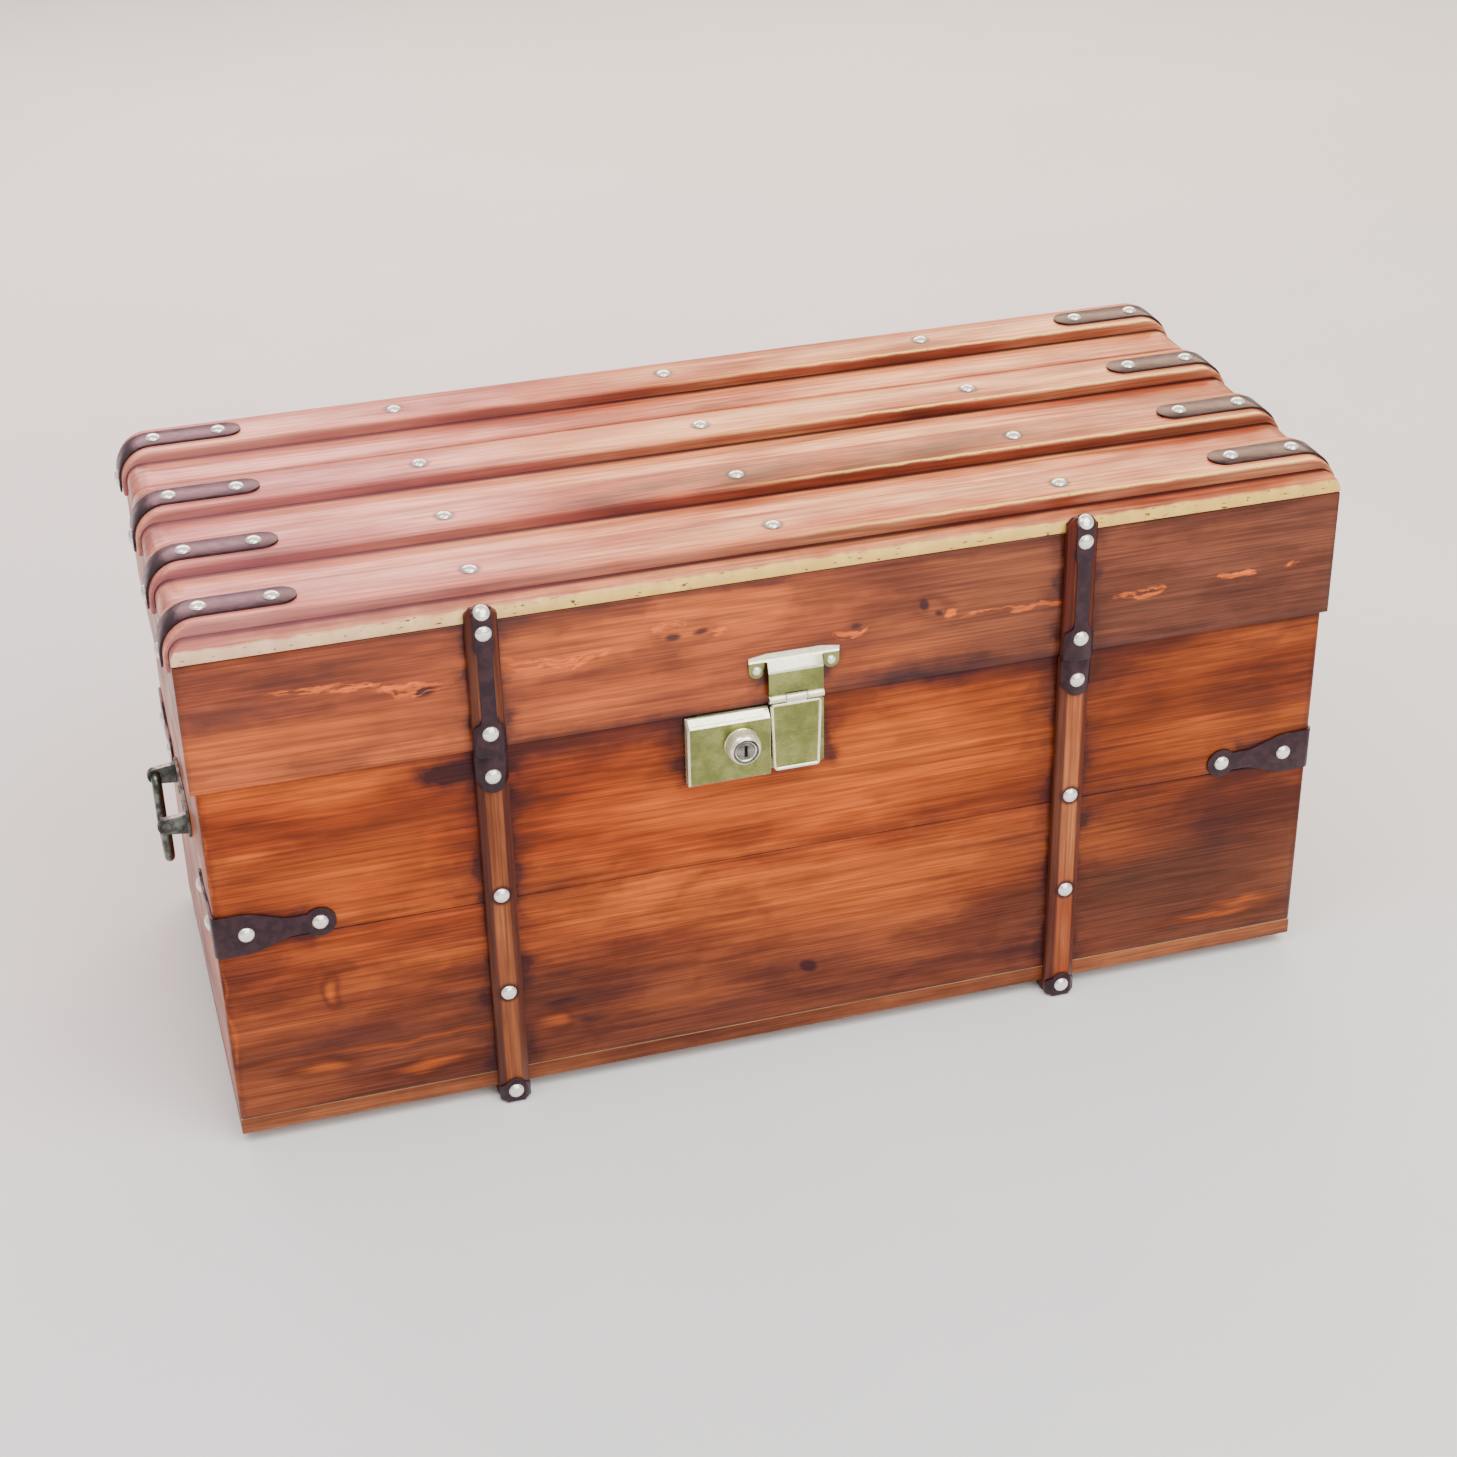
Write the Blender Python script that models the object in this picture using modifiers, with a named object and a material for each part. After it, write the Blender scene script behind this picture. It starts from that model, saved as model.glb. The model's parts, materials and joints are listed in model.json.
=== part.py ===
"""Wooden travel trunk: pine boards, slatted lid, nailed iron straps, brass hasp lock and drop handles.

Metres, +Z up. X runs along the trunk, the front faces -Y, and Z is 0 on the floor under the runners.
The origin is the middle of the footprint, with the lock and the rear battens included.
"""
import math

import bmesh
import bpy
from mathutils import Matrix, Vector

# Overall carcass
BASE_LENGTH = 0.824
BASE_DEPTH = 0.342
BASE_HEIGHT = 0.285
LID_HEIGHT = 0.112
LID_END_OVERHANG = 0.004
LID_FRONT_OVERHANG = 0.0025
SEAM_GAP = 0.0008

# Boards
WALL_THICKNESS = 0.014
BOTTOM_THICKNESS = 0.013
LID_TOP_THICKNESS = 0.014
LID_EDGE_RADIUS = 0.012
CORNER_RADIUS = 0.003
EDGE_EASING = 0.0008
FRONT_JOINT_HEIGHT = 0.161
LID_TOP_JOINT_SHARES = (0.375, 0.745)

# Clearance between pieces that touch, and overrun of every cutter
FIT = 0.0003
OVERRUN = 0.002

# Faces that meet at less than this are shaded as one
SMOOTH_ANGLE = math.radians(35)

# Lengthwise slats on the lid, places as shares of the base's depth from its middle, front to rear
SLAT_WIDTH = 0.044
SLAT_THICKNESS = 0.008
SLAT_EDGE_RADIUS = 0.0015
SLAT_BEND_RADIUS = 0.024
SLAT_END_THICKNESS = 0.003
SLAT_END_DROP = 0.008
SLAT_PLACE_SHARES = (-0.405, -0.15, 0.12, 0.43)
SLAT_NAIL_SPACING = 0.212

# Domed nail heads
NAIL_RADIUS = 0.0058
NAIL_RISE = 0.0032
NAIL_SIDES = 10
NAIL_RINGS = 6
NAIL_SINK_SHARE = 0.1
NAIL_ROOT = 0.0005

# Irons over the slat ends
STRAP_WIDTH = 0.024
STRAP_THICKNESS = 0.0016
STRAP_REACH = 0.068
STRAP_DROP = 0.011
STRAP_NAIL_FROM_TIP = 0.017
STRAP_NAIL_FROM_BEND = 0.003
STRAP_END_NAIL_DROP = 0.002
BEND_STEPS = 6

# Upright battens and the runners under the bottom
BATTEN_SPACING = 0.428
BATTEN_WIDTH = 0.022
BATTEN_THICKNESS = 0.010
BATTEN_CHAMFER = 0.0045
BATTEN_TOP_RADIUS = 0.005
RUNNER_THICKNESS = 0.009
BATTEN_NAIL_HEIGHTS = (0.088, 0.171)
BACK_LID_NAIL_HEIGHTS = (0.025, 0.085)
BACK_BATTEN_SHY = 0.008

# Irons on the front battens
BATTEN_IRON_THICKNESS = 0.0014
BATTEN_IRON_NECK = 0.010
LID_IRON_CAP_LENGTH = 0.028
LID_IRON_FLARE = 0.008
LID_IRON_LOW_NAIL = 0.018
LID_IRON_HIGH_NAIL_DROP = 0.0155
LID_IRON_BEND_STEPS = 3
LID_IRON_TONGUE = 0.004
SEAM_CAP_LENGTH = 0.029
SEAM_CAP_NAIL_DROP = 0.016
FOOT_CAP_HEIGHT = 0.021
FOOT_CAP_NAIL_HEIGHT = 0.0105
FOOT_CAP_TONGUE = 0.006
LIP_STEPS = 4

# Corner bands on the base
BAND_HEIGHT = 0.170
BAND_THICKNESS = 0.0016
BAND_CORNER_WIDTH = 0.033
BAND_NECK_WIDTH = 0.015
BAND_LOBE_RADIUS = 0.0115
BAND_NEAR_NAIL = 0.021
BAND_FAR_NAIL = 0.072
BAND_FLARE_SHARES = ((0.3, 1.0), (0.44, 0.78), (0.62, 0.3), (0.8, 0.07))
LOBE_STEPS = 7

# Brass lock on the base
LOCK_LEFT = -0.076
LOCK_RIGHT = 0.026
LOCK_BOTTOM_BELOW_SEAM = 0.053
LOCK_TOP_BELOW_SEAM = 0.001
LOCK_PLATE_THICKNESS = 0.0015
LOCK_PLATE_CORNER = 0.002
CASE_LENGTH = 0.060
CASE_DEPTH = 0.008
CASE_WALL = 0.0013
CASE_BEVEL = 0.003
BARREL_X = -0.0375
BARREL_BELOW_SEAM = 0.0235
BARREL_RADIUS = 0.0125
BARREL_PROUD = 0.012
BARREL_ROUNDING = 0.004
BARREL_GROOVE_HEIGHT = 0.0008
BARREL_GROOVE_WIDTH = 0.0012
BARREL_GROOVE_DEPTH = 0.0005
PLUG_RADIUS = 0.0066
PLUG_SHY = 0.0008
KEYWAY_WIDTH = 0.0024
KEYWAY_HEIGHT = 0.009
KEYWAY_DEPTH = 0.006
ROUND_STEPS = 24
KNUCKLE_STEPS = 16
PIN_STEPS = 12

# Bolt inside the lock, thrown by a crank pin on the key plug
BOLT_TRAVEL = 0.0115
BOLT_HEIGHT = 0.006
BOLT_THICKNESS = 0.0024
BOLT_OFF_PLATE = 0.0018
BOLT_TAIL_LENGTH = 0.016
BOLT_TAIL_RISE = 0.005
BOLT_SHY = 0.001
CRANK_THICKNESS = 0.0022
CRANK_PIN_RADIUS = 0.0015
CRANK_PIN_CLEARANCE = 0.0006
KEY_TURN = math.radians(90)

# Hasp and the plate it hangs from
HASP_X = 0.0035
HASP_WIDTH = 0.038
HASP_TIP_WIDTH = 0.034
HASP_LENGTH = 0.057
HASP_THICKNESS = 0.0024
HASP_CORNER = 0.003
HASP_EDGE = 0.0007
HASP_BORDER = 0.003
HASP_PANEL_DEPTH = 0.0004
HASP_OFF_BOLT = 0.001
HASP_KNUCKLE_RADIUS = 0.003
HASP_KNUCKLE_LENGTH = 0.015
HASP_PIN_RADIUS = 0.0015
HASP_AXIS_ABOVE_SEAM = 0.0065
KNUCKLE_ROOM_SHARE = 1.2
STAPLE_FROM_CASE = 0.005
STAPLE_WIDTH = 0.003
STAPLE_WALL = 0.0012
STAPLE_ROOM = 0.0012
HINGE_PLATE_SPAN = 0.066
HINGE_PLATE_NECK = 0.040
HINGE_PLATE_HEIGHT = 0.034
HINGE_ARM_FALL = 0.002
HINGE_PLATE_BAR = 0.006
HINGE_PLATE_SLOPE = 0.013
HINGE_PLATE_THICKNESS = 0.0014
HINGE_EAR_HEIGHT = 0.018
HINGE_EAR_SLIT = 0.001
HINGE_NAIL_RADIUS = 0.0034
HINGE_NAIL_RISE = 0.0018

# Rear hinges, placed as a share of the way from a batten to the end of the trunk
HINGE_PLACE_SHARE = 0.384
HINGE_WIDTH = 0.060
HINGE_LEAF_HEIGHT = 0.036
HINGE_LEAF_THICKNESS = 0.002
HINGE_LEAF_CORNER = 0.004
HINGE_KNUCKLE_RADIUS = 0.0045
HINGE_KNUCKLE_OFF_WOOD = 0.0005
HINGE_PIN_RADIUS = 0.0022
HINGE_SIDE_GAP = 0.0004

# Drop handles on the ends
HANDLE_AXIS_HEIGHT = 0.185
HANDLE_AXIS_OUT = 0.0175
HANDLE_ROD_RADIUS = 0.0038
HANDLE_SPAN = 0.060
HANDLE_DROP = 0.035
HANDLE_BEND_RADIUS = 0.010
HANDLE_PIVOT_LENGTH = 0.010
HANDLE_SHOULDER_SHARE = 1.5
BRACKET_LENGTH = 0.090
BRACKET_HEIGHT = 0.022
BRACKET_THICKNESS = 0.0022
BRACKET_CORNER = 0.006
EAR_THICKNESS = 0.005
EAR_RADIUS = 0.0062
EAR_FOOT_WIDTH = 0.016

# Levels and planes that follow from the sizes above
BASE_UNDERSIDE = RUNNER_THICKNESS + FIT
SEAM = BASE_UNDERSIDE + BASE_HEIGHT
LID_UNDERSIDE = SEAM + SEAM_GAP
LID_TOP = SEAM + LID_HEIGHT
WALL_FOOT = BASE_UNDERSIDE + BOTTOM_THICKNESS + FIT
BASE_HALF_LENGTH = BASE_LENGTH / 2
BASE_HALF_DEPTH = BASE_DEPTH / 2
LID_HALF_LENGTH = BASE_HALF_LENGTH + LID_END_OVERHANG
LID_FRONT = BASE_HALF_DEPTH + LID_FRONT_OVERHANG
HINGE_X = BATTEN_SPACING / 2 + HINGE_PLACE_SHARE * (BASE_HALF_LENGTH - BATTEN_SPACING / 2)
HINGE_AXIS_OUT = HINGE_KNUCKLE_OFF_WOOD + HINGE_KNUCKLE_RADIUS
LOCK_LOW = SEAM - LOCK_BOTTOM_BELOW_SEAM
LOCK_TOP = SEAM - LOCK_TOP_BELOW_SEAM
LOCK_PLATE_FRONT = FIT + LOCK_PLATE_THICKNESS
CASE_BACK = LOCK_PLATE_FRONT + FIT
CASE_FRONT = CASE_BACK + CASE_DEPTH
BOLT_BACK = LOCK_PLATE_FRONT + BOLT_OFF_PLATE
BOLT_FRONT = BOLT_BACK + BOLT_THICKNESS
CRANK_RADIUS = BOLT_TRAVEL / (2 * math.sin(KEY_TURN / 2))
BARREL_Z = SEAM - BARREL_BELOW_SEAM
BOLT_Z = BARREL_Z - CRANK_RADIUS * math.cos(KEY_TURN / 2)
BARREL_FRONT = CASE_FRONT + FIT + BARREL_PROUD
HASP_BACK = BOLT_FRONT + HASP_OFF_BOLT
HASP_AXIS_DEPTH = HASP_BACK + HASP_THICKNESS / 2
HASP_AXIS_Z = SEAM + HASP_AXIS_ABOVE_SEAM
BATTEN_FLAT = BATTEN_WIDTH - 2 * BATTEN_CHAMFER
BATTEN_SLOPE = math.hypot(BATTEN_CHAMFER, BATTEN_CHAMFER)
SLAT_BEND_X = LID_HALF_LENGTH + FIT + SLAT_END_THICKNESS - SLAT_BEND_RADIUS
SLAT_BEND_Z = FIT + SLAT_THICKNESS - SLAT_BEND_RADIUS
BATTEN_REACH = FIT + BATTEN_THICKNESS + NAIL_RISE * (1 - NAIL_SINK_SHARE)
FOOTPRINT_SHIFT = (BARREL_FRONT - BATTEN_REACH) / 2

FRONT = Vector((0, -1, 0))

# Finishes: base colour, roughness, metallic
FINISHES = {
    "front pine": ((0.30, 0.085, 0.025), 0.32, 0.0),
    "top pine": ((0.42, 0.14, 0.05), 0.30, 0.0),
    "batten pine": ((0.22, 0.06, 0.02), 0.35, 0.0),
    "black iron": ((0.035, 0.022, 0.022), 0.38, 0.8),
    "lock brass": ((0.58, 0.56, 0.30), 0.28, 1.0),
    "handle iron": ((0.06, 0.065, 0.065), 0.35, 0.9),
}


def clear_scene():
    for thing in list(bpy.data.objects):
        bpy.data.objects.remove(thing, do_unlink=True)


def new_collection(name):
    collection = bpy.data.collections.new(name)
    bpy.context.scene.collection.children.link(collection)
    return collection


def finish_material(name):
    """A Principled material for one of the named finishes, made once."""
    if name in bpy.data.materials:
        return bpy.data.materials[name]
    colour, roughness, metallic = FINISHES[name]
    material = bpy.data.materials.new(name)
    material.use_nodes = True
    shader = material.node_tree.nodes["Principled BSDF"]
    shader.inputs["Base Color"].default_value = (*colour, 1)
    shader.inputs["Roughness"].default_value = roughness
    shader.inputs["Metallic"].default_value = metallic
    material.diffuse_color = (*colour, 1)
    return material


def add_part(name, mesh, finish, parent, location=(0, 0, 0), turn=(0, 0, 0)):
    """Put a mesh in the trunk's collection as a named part, placed in its parent's frame."""
    part = bpy.data.objects.new(name, mesh)
    if not mesh.materials:
        mesh.materials.append(finish_material(finish))
    part.parent = parent
    part.location = location
    part.rotation_euler = turn
    PARTS.objects.link(part)
    return part


def add_pivot(name, parent, location):
    """An empty on a joint's axis, which the moving pieces hang from."""
    pivot = bpy.data.objects.new(name, None)
    pivot.parent = parent
    pivot.location = location
    PARTS.objects.link(pivot)
    return pivot


def mesh_of(bm, name, smooth=False):
    mesh = bpy.data.meshes.new(name)
    bm.to_mesh(mesh)
    bm.free()
    if smooth:
        mesh.shade_smooth()
        mesh.set_sharp_from_angle(angle=SMOOTH_ANGLE)
    return mesh


def helper(mesh, operation):
    """A shape that only cuts or joins another one."""
    tool = bpy.data.objects.new(f"{mesh.name} {operation.lower()}", mesh)
    tool.hide_render = True
    tool.display_type = "WIRE"
    CUTTERS.objects.link(tool)
    return tool


def combine(part, mesh, operation):
    """Join a mesh to a part, or cut it away; the mesh is in the part's own coordinates."""
    tool = helper(mesh, operation)
    tool.parent = part
    modifier = part.modifiers.new(operation.lower(), "BOOLEAN")
    modifier.operation = operation
    modifier.solver = "EXACT"
    modifier.object = tool
    return part


def fused_mesh(name, body, joined=(), cut=(), smooth=True):
    """One mesh from a body with other meshes joined and cut, for pieces that share a shape."""
    blank = bpy.data.objects.new(name, body)
    CUTTERS.objects.link(blank)
    for mesh in joined:
        combine(blank, mesh, "UNION")
    for mesh in cut:
        combine(blank, mesh, "DIFFERENCE")
    graph = bpy.context.evaluated_depsgraph_get()
    mesh = bpy.data.meshes.new_from_object(blank.evaluated_get(graph))
    mesh.name = name
    for tool in list(blank.children):
        bpy.data.objects.remove(tool, do_unlink=True)
    bpy.data.objects.remove(blank, do_unlink=True)
    if smooth:
        mesh.shade_smooth()
        mesh.set_sharp_from_angle(angle=SMOOTH_ANGLE)
    return mesh


def block(name, size, centre=(0, 0, 0)):
    """A box as a mesh."""
    bm = bmesh.new()
    bmesh.ops.create_cube(bm, size=1, matrix=Matrix.Translation(centre) @ Matrix.Diagonal((*size, 1)))
    return mesh_of(bm, name)


def rod(name, radius, length, axis, centre=(0, 0, 0), steps=ROUND_STEPS):
    """A cylinder along an axis as a mesh."""
    bm = bmesh.new()
    turn = Vector((0, 0, 1)).rotation_difference(Vector(axis)).to_matrix().to_4x4()
    bmesh.ops.create_cone(bm, cap_ends=True, segments=steps, radius1=radius, radius2=radius, depth=length,
                          matrix=Matrix.Translation(centre) @ turn)
    return mesh_of(bm, name, smooth=True)


def arc(centre, radius, start, end, steps):
    """Points along an arc, angles in degrees."""
    points = []
    for step in range(steps + 1):
        angle = math.radians(start + (end - start) * step / steps)
        points.append((centre[0] + radius * math.cos(angle), centre[1] + radius * math.sin(angle)))
    return points


def rounded_rectangle(left, right, low, high, radius, steps=3):
    return (arc((right - radius, high - radius), radius, 90, 0, steps)
            + arc((right - radius, low + radius), radius, 0, -90, steps)
            + arc((left + radius, low + radius), radius, -90, -180, steps)
            + arc((left + radius, high - radius), radius, 180, 90, steps))


def sheet(name, outline, thickness):
    """A flat outline in X and Y made solid from Z = 0 to its thickness, with one face on each side."""
    curve = bpy.data.curves.new(name, "CURVE")
    curve.dimensions = "2D"
    curve.fill_mode = "BOTH"
    curve.extrude = thickness / 2
    spline = curve.splines.new("POLY")
    spline.points.add(len(outline) - 1)
    for point, place in zip(spline.points, outline):
        point.co = (*place, 0, 1)
    spline.use_cyclic_u = True
    flat = bpy.data.objects.new(name, curve)
    CUTTERS.objects.link(flat)
    graph = bpy.context.evaluated_depsgraph_get()
    mesh = bpy.data.meshes.new_from_object(flat.evaluated_get(graph))
    bpy.data.objects.remove(flat, do_unlink=True)
    bm = bmesh.new()
    bm.from_mesh(mesh)
    bpy.data.meshes.remove(mesh)
    bmesh.ops.remove_doubles(bm, verts=bm.verts, dist=FIT / 10)
    bmesh.ops.dissolve_limit(bm, angle_limit=math.radians(1), verts=bm.verts, edges=bm.edges)
    bmesh.ops.recalc_face_normals(bm, faces=bm.faces)
    bmesh.ops.translate(bm, verts=bm.verts, vec=(0, 0, thickness / 2))
    return bm


def crease(bm, lines, axis):
    """Cut new edges across a sheet where it will bend; axis 0 takes lines of equal X, axis 1 of equal Y."""
    normal = Vector((1, 0, 0)) if axis == 0 else Vector((0, 1, 0))
    for line in lines:
        bmesh.ops.bisect_plane(bm, geom=bm.verts[:] + bm.edges[:] + bm.faces[:], dist=FIT / 100,
                               plane_co=normal * line, plane_no=normal)


def formed(bm, place):
    """Carry every corner of a flat sheet to its place on the work, and face it outwards."""
    for vert in bm.verts:
        vert.co = place(*vert.co)
    bmesh.ops.recalc_face_normals(bm, faces=bm.faces)
    if bm.calc_volume(signed=True) < 0:
        bmesh.ops.reverse_faces(bm, faces=bm.faces)
    return bm


def nail_head(place, out, radius=NAIL_RADIUS, rise=NAIL_RISE):
    """A domed head whose rim sits just under the surface it is driven into."""
    out = Vector(out).normalized()
    turn = Vector((0, 0, 1)).rotation_difference(out).to_matrix().to_4x4()
    sunk = Vector(place) - out * rise * NAIL_SINK_SHARE
    bm = bmesh.new()
    bmesh.ops.create_uvsphere(bm, u_segments=NAIL_SIDES, v_segments=NAIL_RINGS, radius=1,
                              matrix=Matrix.Diagonal((radius, radius, rise, 1)))
    for vert in bm.verts:
        vert.co.z = max(vert.co.z, -NAIL_ROOT)
    bmesh.ops.transform(bm, verts=bm.verts, matrix=Matrix.Translation(sunk) @ turn)
    return mesh_of(bm, "nail head", smooth=True)


def nail_on_sheet(place, s, t, thickness):
    """A nail head on a formed sheet, at a place given on the flat sheet."""
    top = place(s, t, thickness)
    return nail_head(top, place(s, t, 2 * thickness) - top)


def add_board(name, low, high, finish, parent, eased=EDGE_EASING):
    """A planed board between two opposite corners, with its edges eased."""
    low = Vector(low)
    high = Vector(high)
    board = add_part(name, block(name, high - low), finish, parent, location=(low + high) / 2)
    bevel = board.modifiers.new("eased edges", "BEVEL")
    bevel.width = eased
    bevel.segments = 1
    bevel.limit_method = "ANGLE"
    return board


# The box below the lid
def build_base(trunk):
    inner_half = BASE_HALF_LENGTH - WALL_THICKNESS
    inner_depth = BASE_HALF_DEPTH - WALL_THICKNESS
    joint = BASE_UNDERSIDE + FRONT_JOINT_HEIGHT
    add_board("base_bottom_board", (-BASE_HALF_LENGTH, -BASE_HALF_DEPTH, BASE_UNDERSIDE),
              (BASE_HALF_LENGTH, BASE_HALF_DEPTH, BASE_UNDERSIDE + BOTTOM_THICKNESS), "front pine", trunk)
    for name, low, high in (("base_front_lower_board", WALL_FOOT, joint - FIT),
                            ("base_front_upper_board", joint, SEAM)):
        add_corner_board(name, -BASE_HALF_DEPTH, -inner_depth, low, high, trunk)
    add_corner_board("base_back_board", inner_depth, BASE_HALF_DEPTH, WALL_FOOT, SEAM, trunk)
    for name, side in (("base_left_end", -1), ("base_right_end", 1)):
        ends = sorted((side * BASE_HALF_LENGTH, side * inner_half))
        add_board(name, (ends[0], FIT - inner_depth, WALL_FOOT), (ends[1], inner_depth - FIT, SEAM),
                  "front pine", trunk)


def add_corner_board(name, front, back, low, high, trunk):
    """A full-length board whose upright outer corners are rounded for the corner bands."""
    size = Vector((BASE_LENGTH, back - front, high - low))
    bm = bmesh.new()
    bmesh.ops.create_cube(bm, size=1, matrix=Matrix.Diagonal((*size, 1)))
    outside = -1 if front < 0 else 1
    upright = [edge for edge in bm.edges
               if all(vert.co.y * outside > 0 for vert in edge.verts)
               and edge.verts[0].co.x == edge.verts[1].co.x]
    bmesh.ops.bevel(bm, geom=upright, offset=CORNER_RADIUS, segments=3, profile=0.5, affect="EDGES",
                    material=-1)
    centre = (0, (front + back) / 2, (low + high) / 2)
    return add_part(name, mesh_of(bm, name), "front pine", trunk, location=centre)


# The lid, hung from the pivot of the rear hinges
def build_lid(lid):
    under_top = LID_TOP - LID_TOP_THICKNESS
    inner_half = LID_HALF_LENGTH - WALL_THICKNESS
    front_inner = WALL_THICKNESS - LID_FRONT
    back_inner = BASE_HALF_DEPTH - WALL_THICKNESS
    wall_top = under_top - FIT
    lid_board(lid, "lid_front_board", (-LID_HALF_LENGTH, -LID_FRONT, LID_UNDERSIDE),
              (LID_HALF_LENGTH, front_inner, wall_top))
    lid_board(lid, "lid_back_board", (-LID_HALF_LENGTH, back_inner, LID_UNDERSIDE),
              (LID_HALF_LENGTH, BASE_HALF_DEPTH, wall_top))
    for name, side in (("lid_left_end", -1), ("lid_right_end", 1)):
        ends = sorted((side * LID_HALF_LENGTH, side * inner_half))
        lid_board(lid, name, (ends[0], front_inner + FIT, LID_UNDERSIDE),
                  (ends[1], back_inner - FIT, wall_top))
    depth = LID_FRONT + BASE_HALF_DEPTH
    cuts = [-LID_FRONT] + [depth * share - LID_FRONT for share in LID_TOP_JOINT_SHARES] + [BASE_HALF_DEPTH]
    names = ("lid_top_board_front", "lid_top_board_middle", "lid_top_board_rear")
    for name, front, back in zip(names, cuts, cuts[1:]):
        add_top_board(lid, name, front, back if back == BASE_HALF_DEPTH else back - FIT)


def lid_place(lid, point):
    """A point of the trunk given in the frame of the lid's pivot."""
    return Vector(point) - lid.location


def lid_board(lid, name, low, high):
    add_board(name, lid_place(lid, low), lid_place(lid, high), "front pine", lid)


def add_top_board(lid, name, front, back):
    """A board of the lid's top, with its outer edges rounded over."""
    size = Vector((2 * LID_HALF_LENGTH, back - front, LID_TOP_THICKNESS))
    bm = bmesh.new()
    bmesh.ops.create_cube(bm, size=1, matrix=Matrix.Diagonal((*size, 1)))
    outer = []
    for edge in bm.edges:
        middle = (edge.verts[0].co + edge.verts[1].co) / 2
        at_end = middle.x != 0 and middle.y == 0
        at_front = front == -LID_FRONT and middle.y < 0 and middle.x == 0
        at_back = back == BASE_HALF_DEPTH and middle.y > 0 and middle.x == 0
        if middle.z > 0 and (at_end or at_front or at_back):
            outer.append(edge)
    bmesh.ops.bevel(bm, geom=outer, offset=LID_EDGE_RADIUS, segments=4, profile=0.5, affect="EDGES",
                    material=-1)
    centre = (0, (front + back) / 2, LID_TOP - LID_TOP_THICKNESS / 2)
    return add_part(name, mesh_of(bm, name), "top pine", lid, location=lid_place(lid, centre))


# Slats bent over the ends of the lid
def slat_outline():
    """Side view of a slat, from the middle of the lid's top surface."""
    edge = LID_HALF_LENGTH - LID_EDGE_RADIUS
    inner = LID_EDGE_RADIUS + FIT
    low = SLAT_BEND_Z - SLAT_END_DROP
    outer_end = SLAT_BEND_X + SLAT_BEND_RADIUS
    right = (arc((SLAT_BEND_X, SLAT_BEND_Z), SLAT_BEND_RADIUS, 90, 0, BEND_STEPS)
             + [(outer_end, low), (edge + inner, low)]
             + arc((edge, -LID_EDGE_RADIUS), inner, 0, 90, BEND_STEPS))
    return right + [(-x, z) for x, z in reversed(right)]


def slat_mesh():
    bm = sheet("lid slat", slat_outline(), SLAT_WIDTH)

    def on_top(vert):
        past = abs(vert.co.x) - LID_HALF_LENGTH + LID_EDGE_RADIUS
        over = max(vert.co.y + LID_EDGE_RADIUS, 0)
        return math.hypot(max(past, 0), over) > LID_EDGE_RADIUS + FIT + SLAT_END_THICKNESS / 2

    long_edges = [edge for edge in bm.edges
                  if all(on_top(vert) for vert in edge.verts)
                  and abs(edge.verts[0].co.z - edge.verts[1].co.z) < SLAT_WIDTH / 2]
    bmesh.ops.bevel(bm, geom=long_edges, offset=SLAT_EDGE_RADIUS, segments=2, profile=0.5, affect="EDGES",
                    material=-1)
    formed(bm, lambda x, y, z: Vector((x, z - SLAT_WIDTH / 2, y)))
    top = FIT + SLAT_THICKNESS
    nails = [nail_head((x, 0, top), (0, 0, 1)) for x in (-SLAT_NAIL_SPACING, 0, SLAT_NAIL_SPACING)]
    return fused_mesh("lid slat", mesh_of(bm, "slat"), joined=nails)


def strap_place(s, t, n):
    """From the flat strap to the right end of a slat; s is 0 where the bend starts."""
    radius = SLAT_BEND_RADIUS + FIT
    quarter = radius * math.pi / 2
    if s <= 0:
        return Vector((SLAT_BEND_X + s, t, SLAT_BEND_Z + radius + n))
    if s >= quarter:
        return Vector((SLAT_BEND_X + radius + n, t, SLAT_BEND_Z + quarter - s))
    angle = s / radius
    out = radius + n
    return Vector((SLAT_BEND_X + out * math.sin(angle), t, SLAT_BEND_Z + out * math.cos(angle)))


def strap_mesh():
    """Iron over a slat's end: round tip on top, bent down the lid's end, three nails."""
    quarter = (SLAT_BEND_RADIUS + FIT) * math.pi / 2
    half = STRAP_WIDTH / 2
    far = quarter + STRAP_DROP
    outline = (arc((half - STRAP_REACH, 0), half, 90, 270, LOBE_STEPS)
               + arc((far - half / 2, -half / 2), half / 2, -90, 0, 3)
               + arc((far - half / 2, half / 2), half / 2, 0, 90, 3))
    bm = sheet("slat strap", outline, STRAP_THICKNESS)
    crease(bm, [quarter * step / BEND_STEPS for step in range(BEND_STEPS + 1)], axis=0)
    formed(bm, strap_place)
    places = (STRAP_NAIL_FROM_TIP - STRAP_REACH, -STRAP_NAIL_FROM_BEND, quarter + STRAP_END_NAIL_DROP)
    nails = [nail_on_sheet(strap_place, s, 0, STRAP_THICKNESS) for s in places]
    return fused_mesh("slat strap", mesh_of(bm, "strap"), joined=nails)


def build_slats(lid):
    slat = slat_mesh()
    strap = strap_mesh()
    for number, share in enumerate(SLAT_PLACE_SHARES, 1):
        place = lid_place(lid, (0, BASE_DEPTH * share, LID_TOP))
        add_part(f"lid_slat_{number}", slat, "top pine", lid, location=place)
        add_part(f"slat_strap_right_{number}", strap, "black iron", lid, location=place)
        add_part(f"slat_strap_left_{number}", strap, "black iron", lid, location=place, turn=(0, 0, math.pi))


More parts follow.
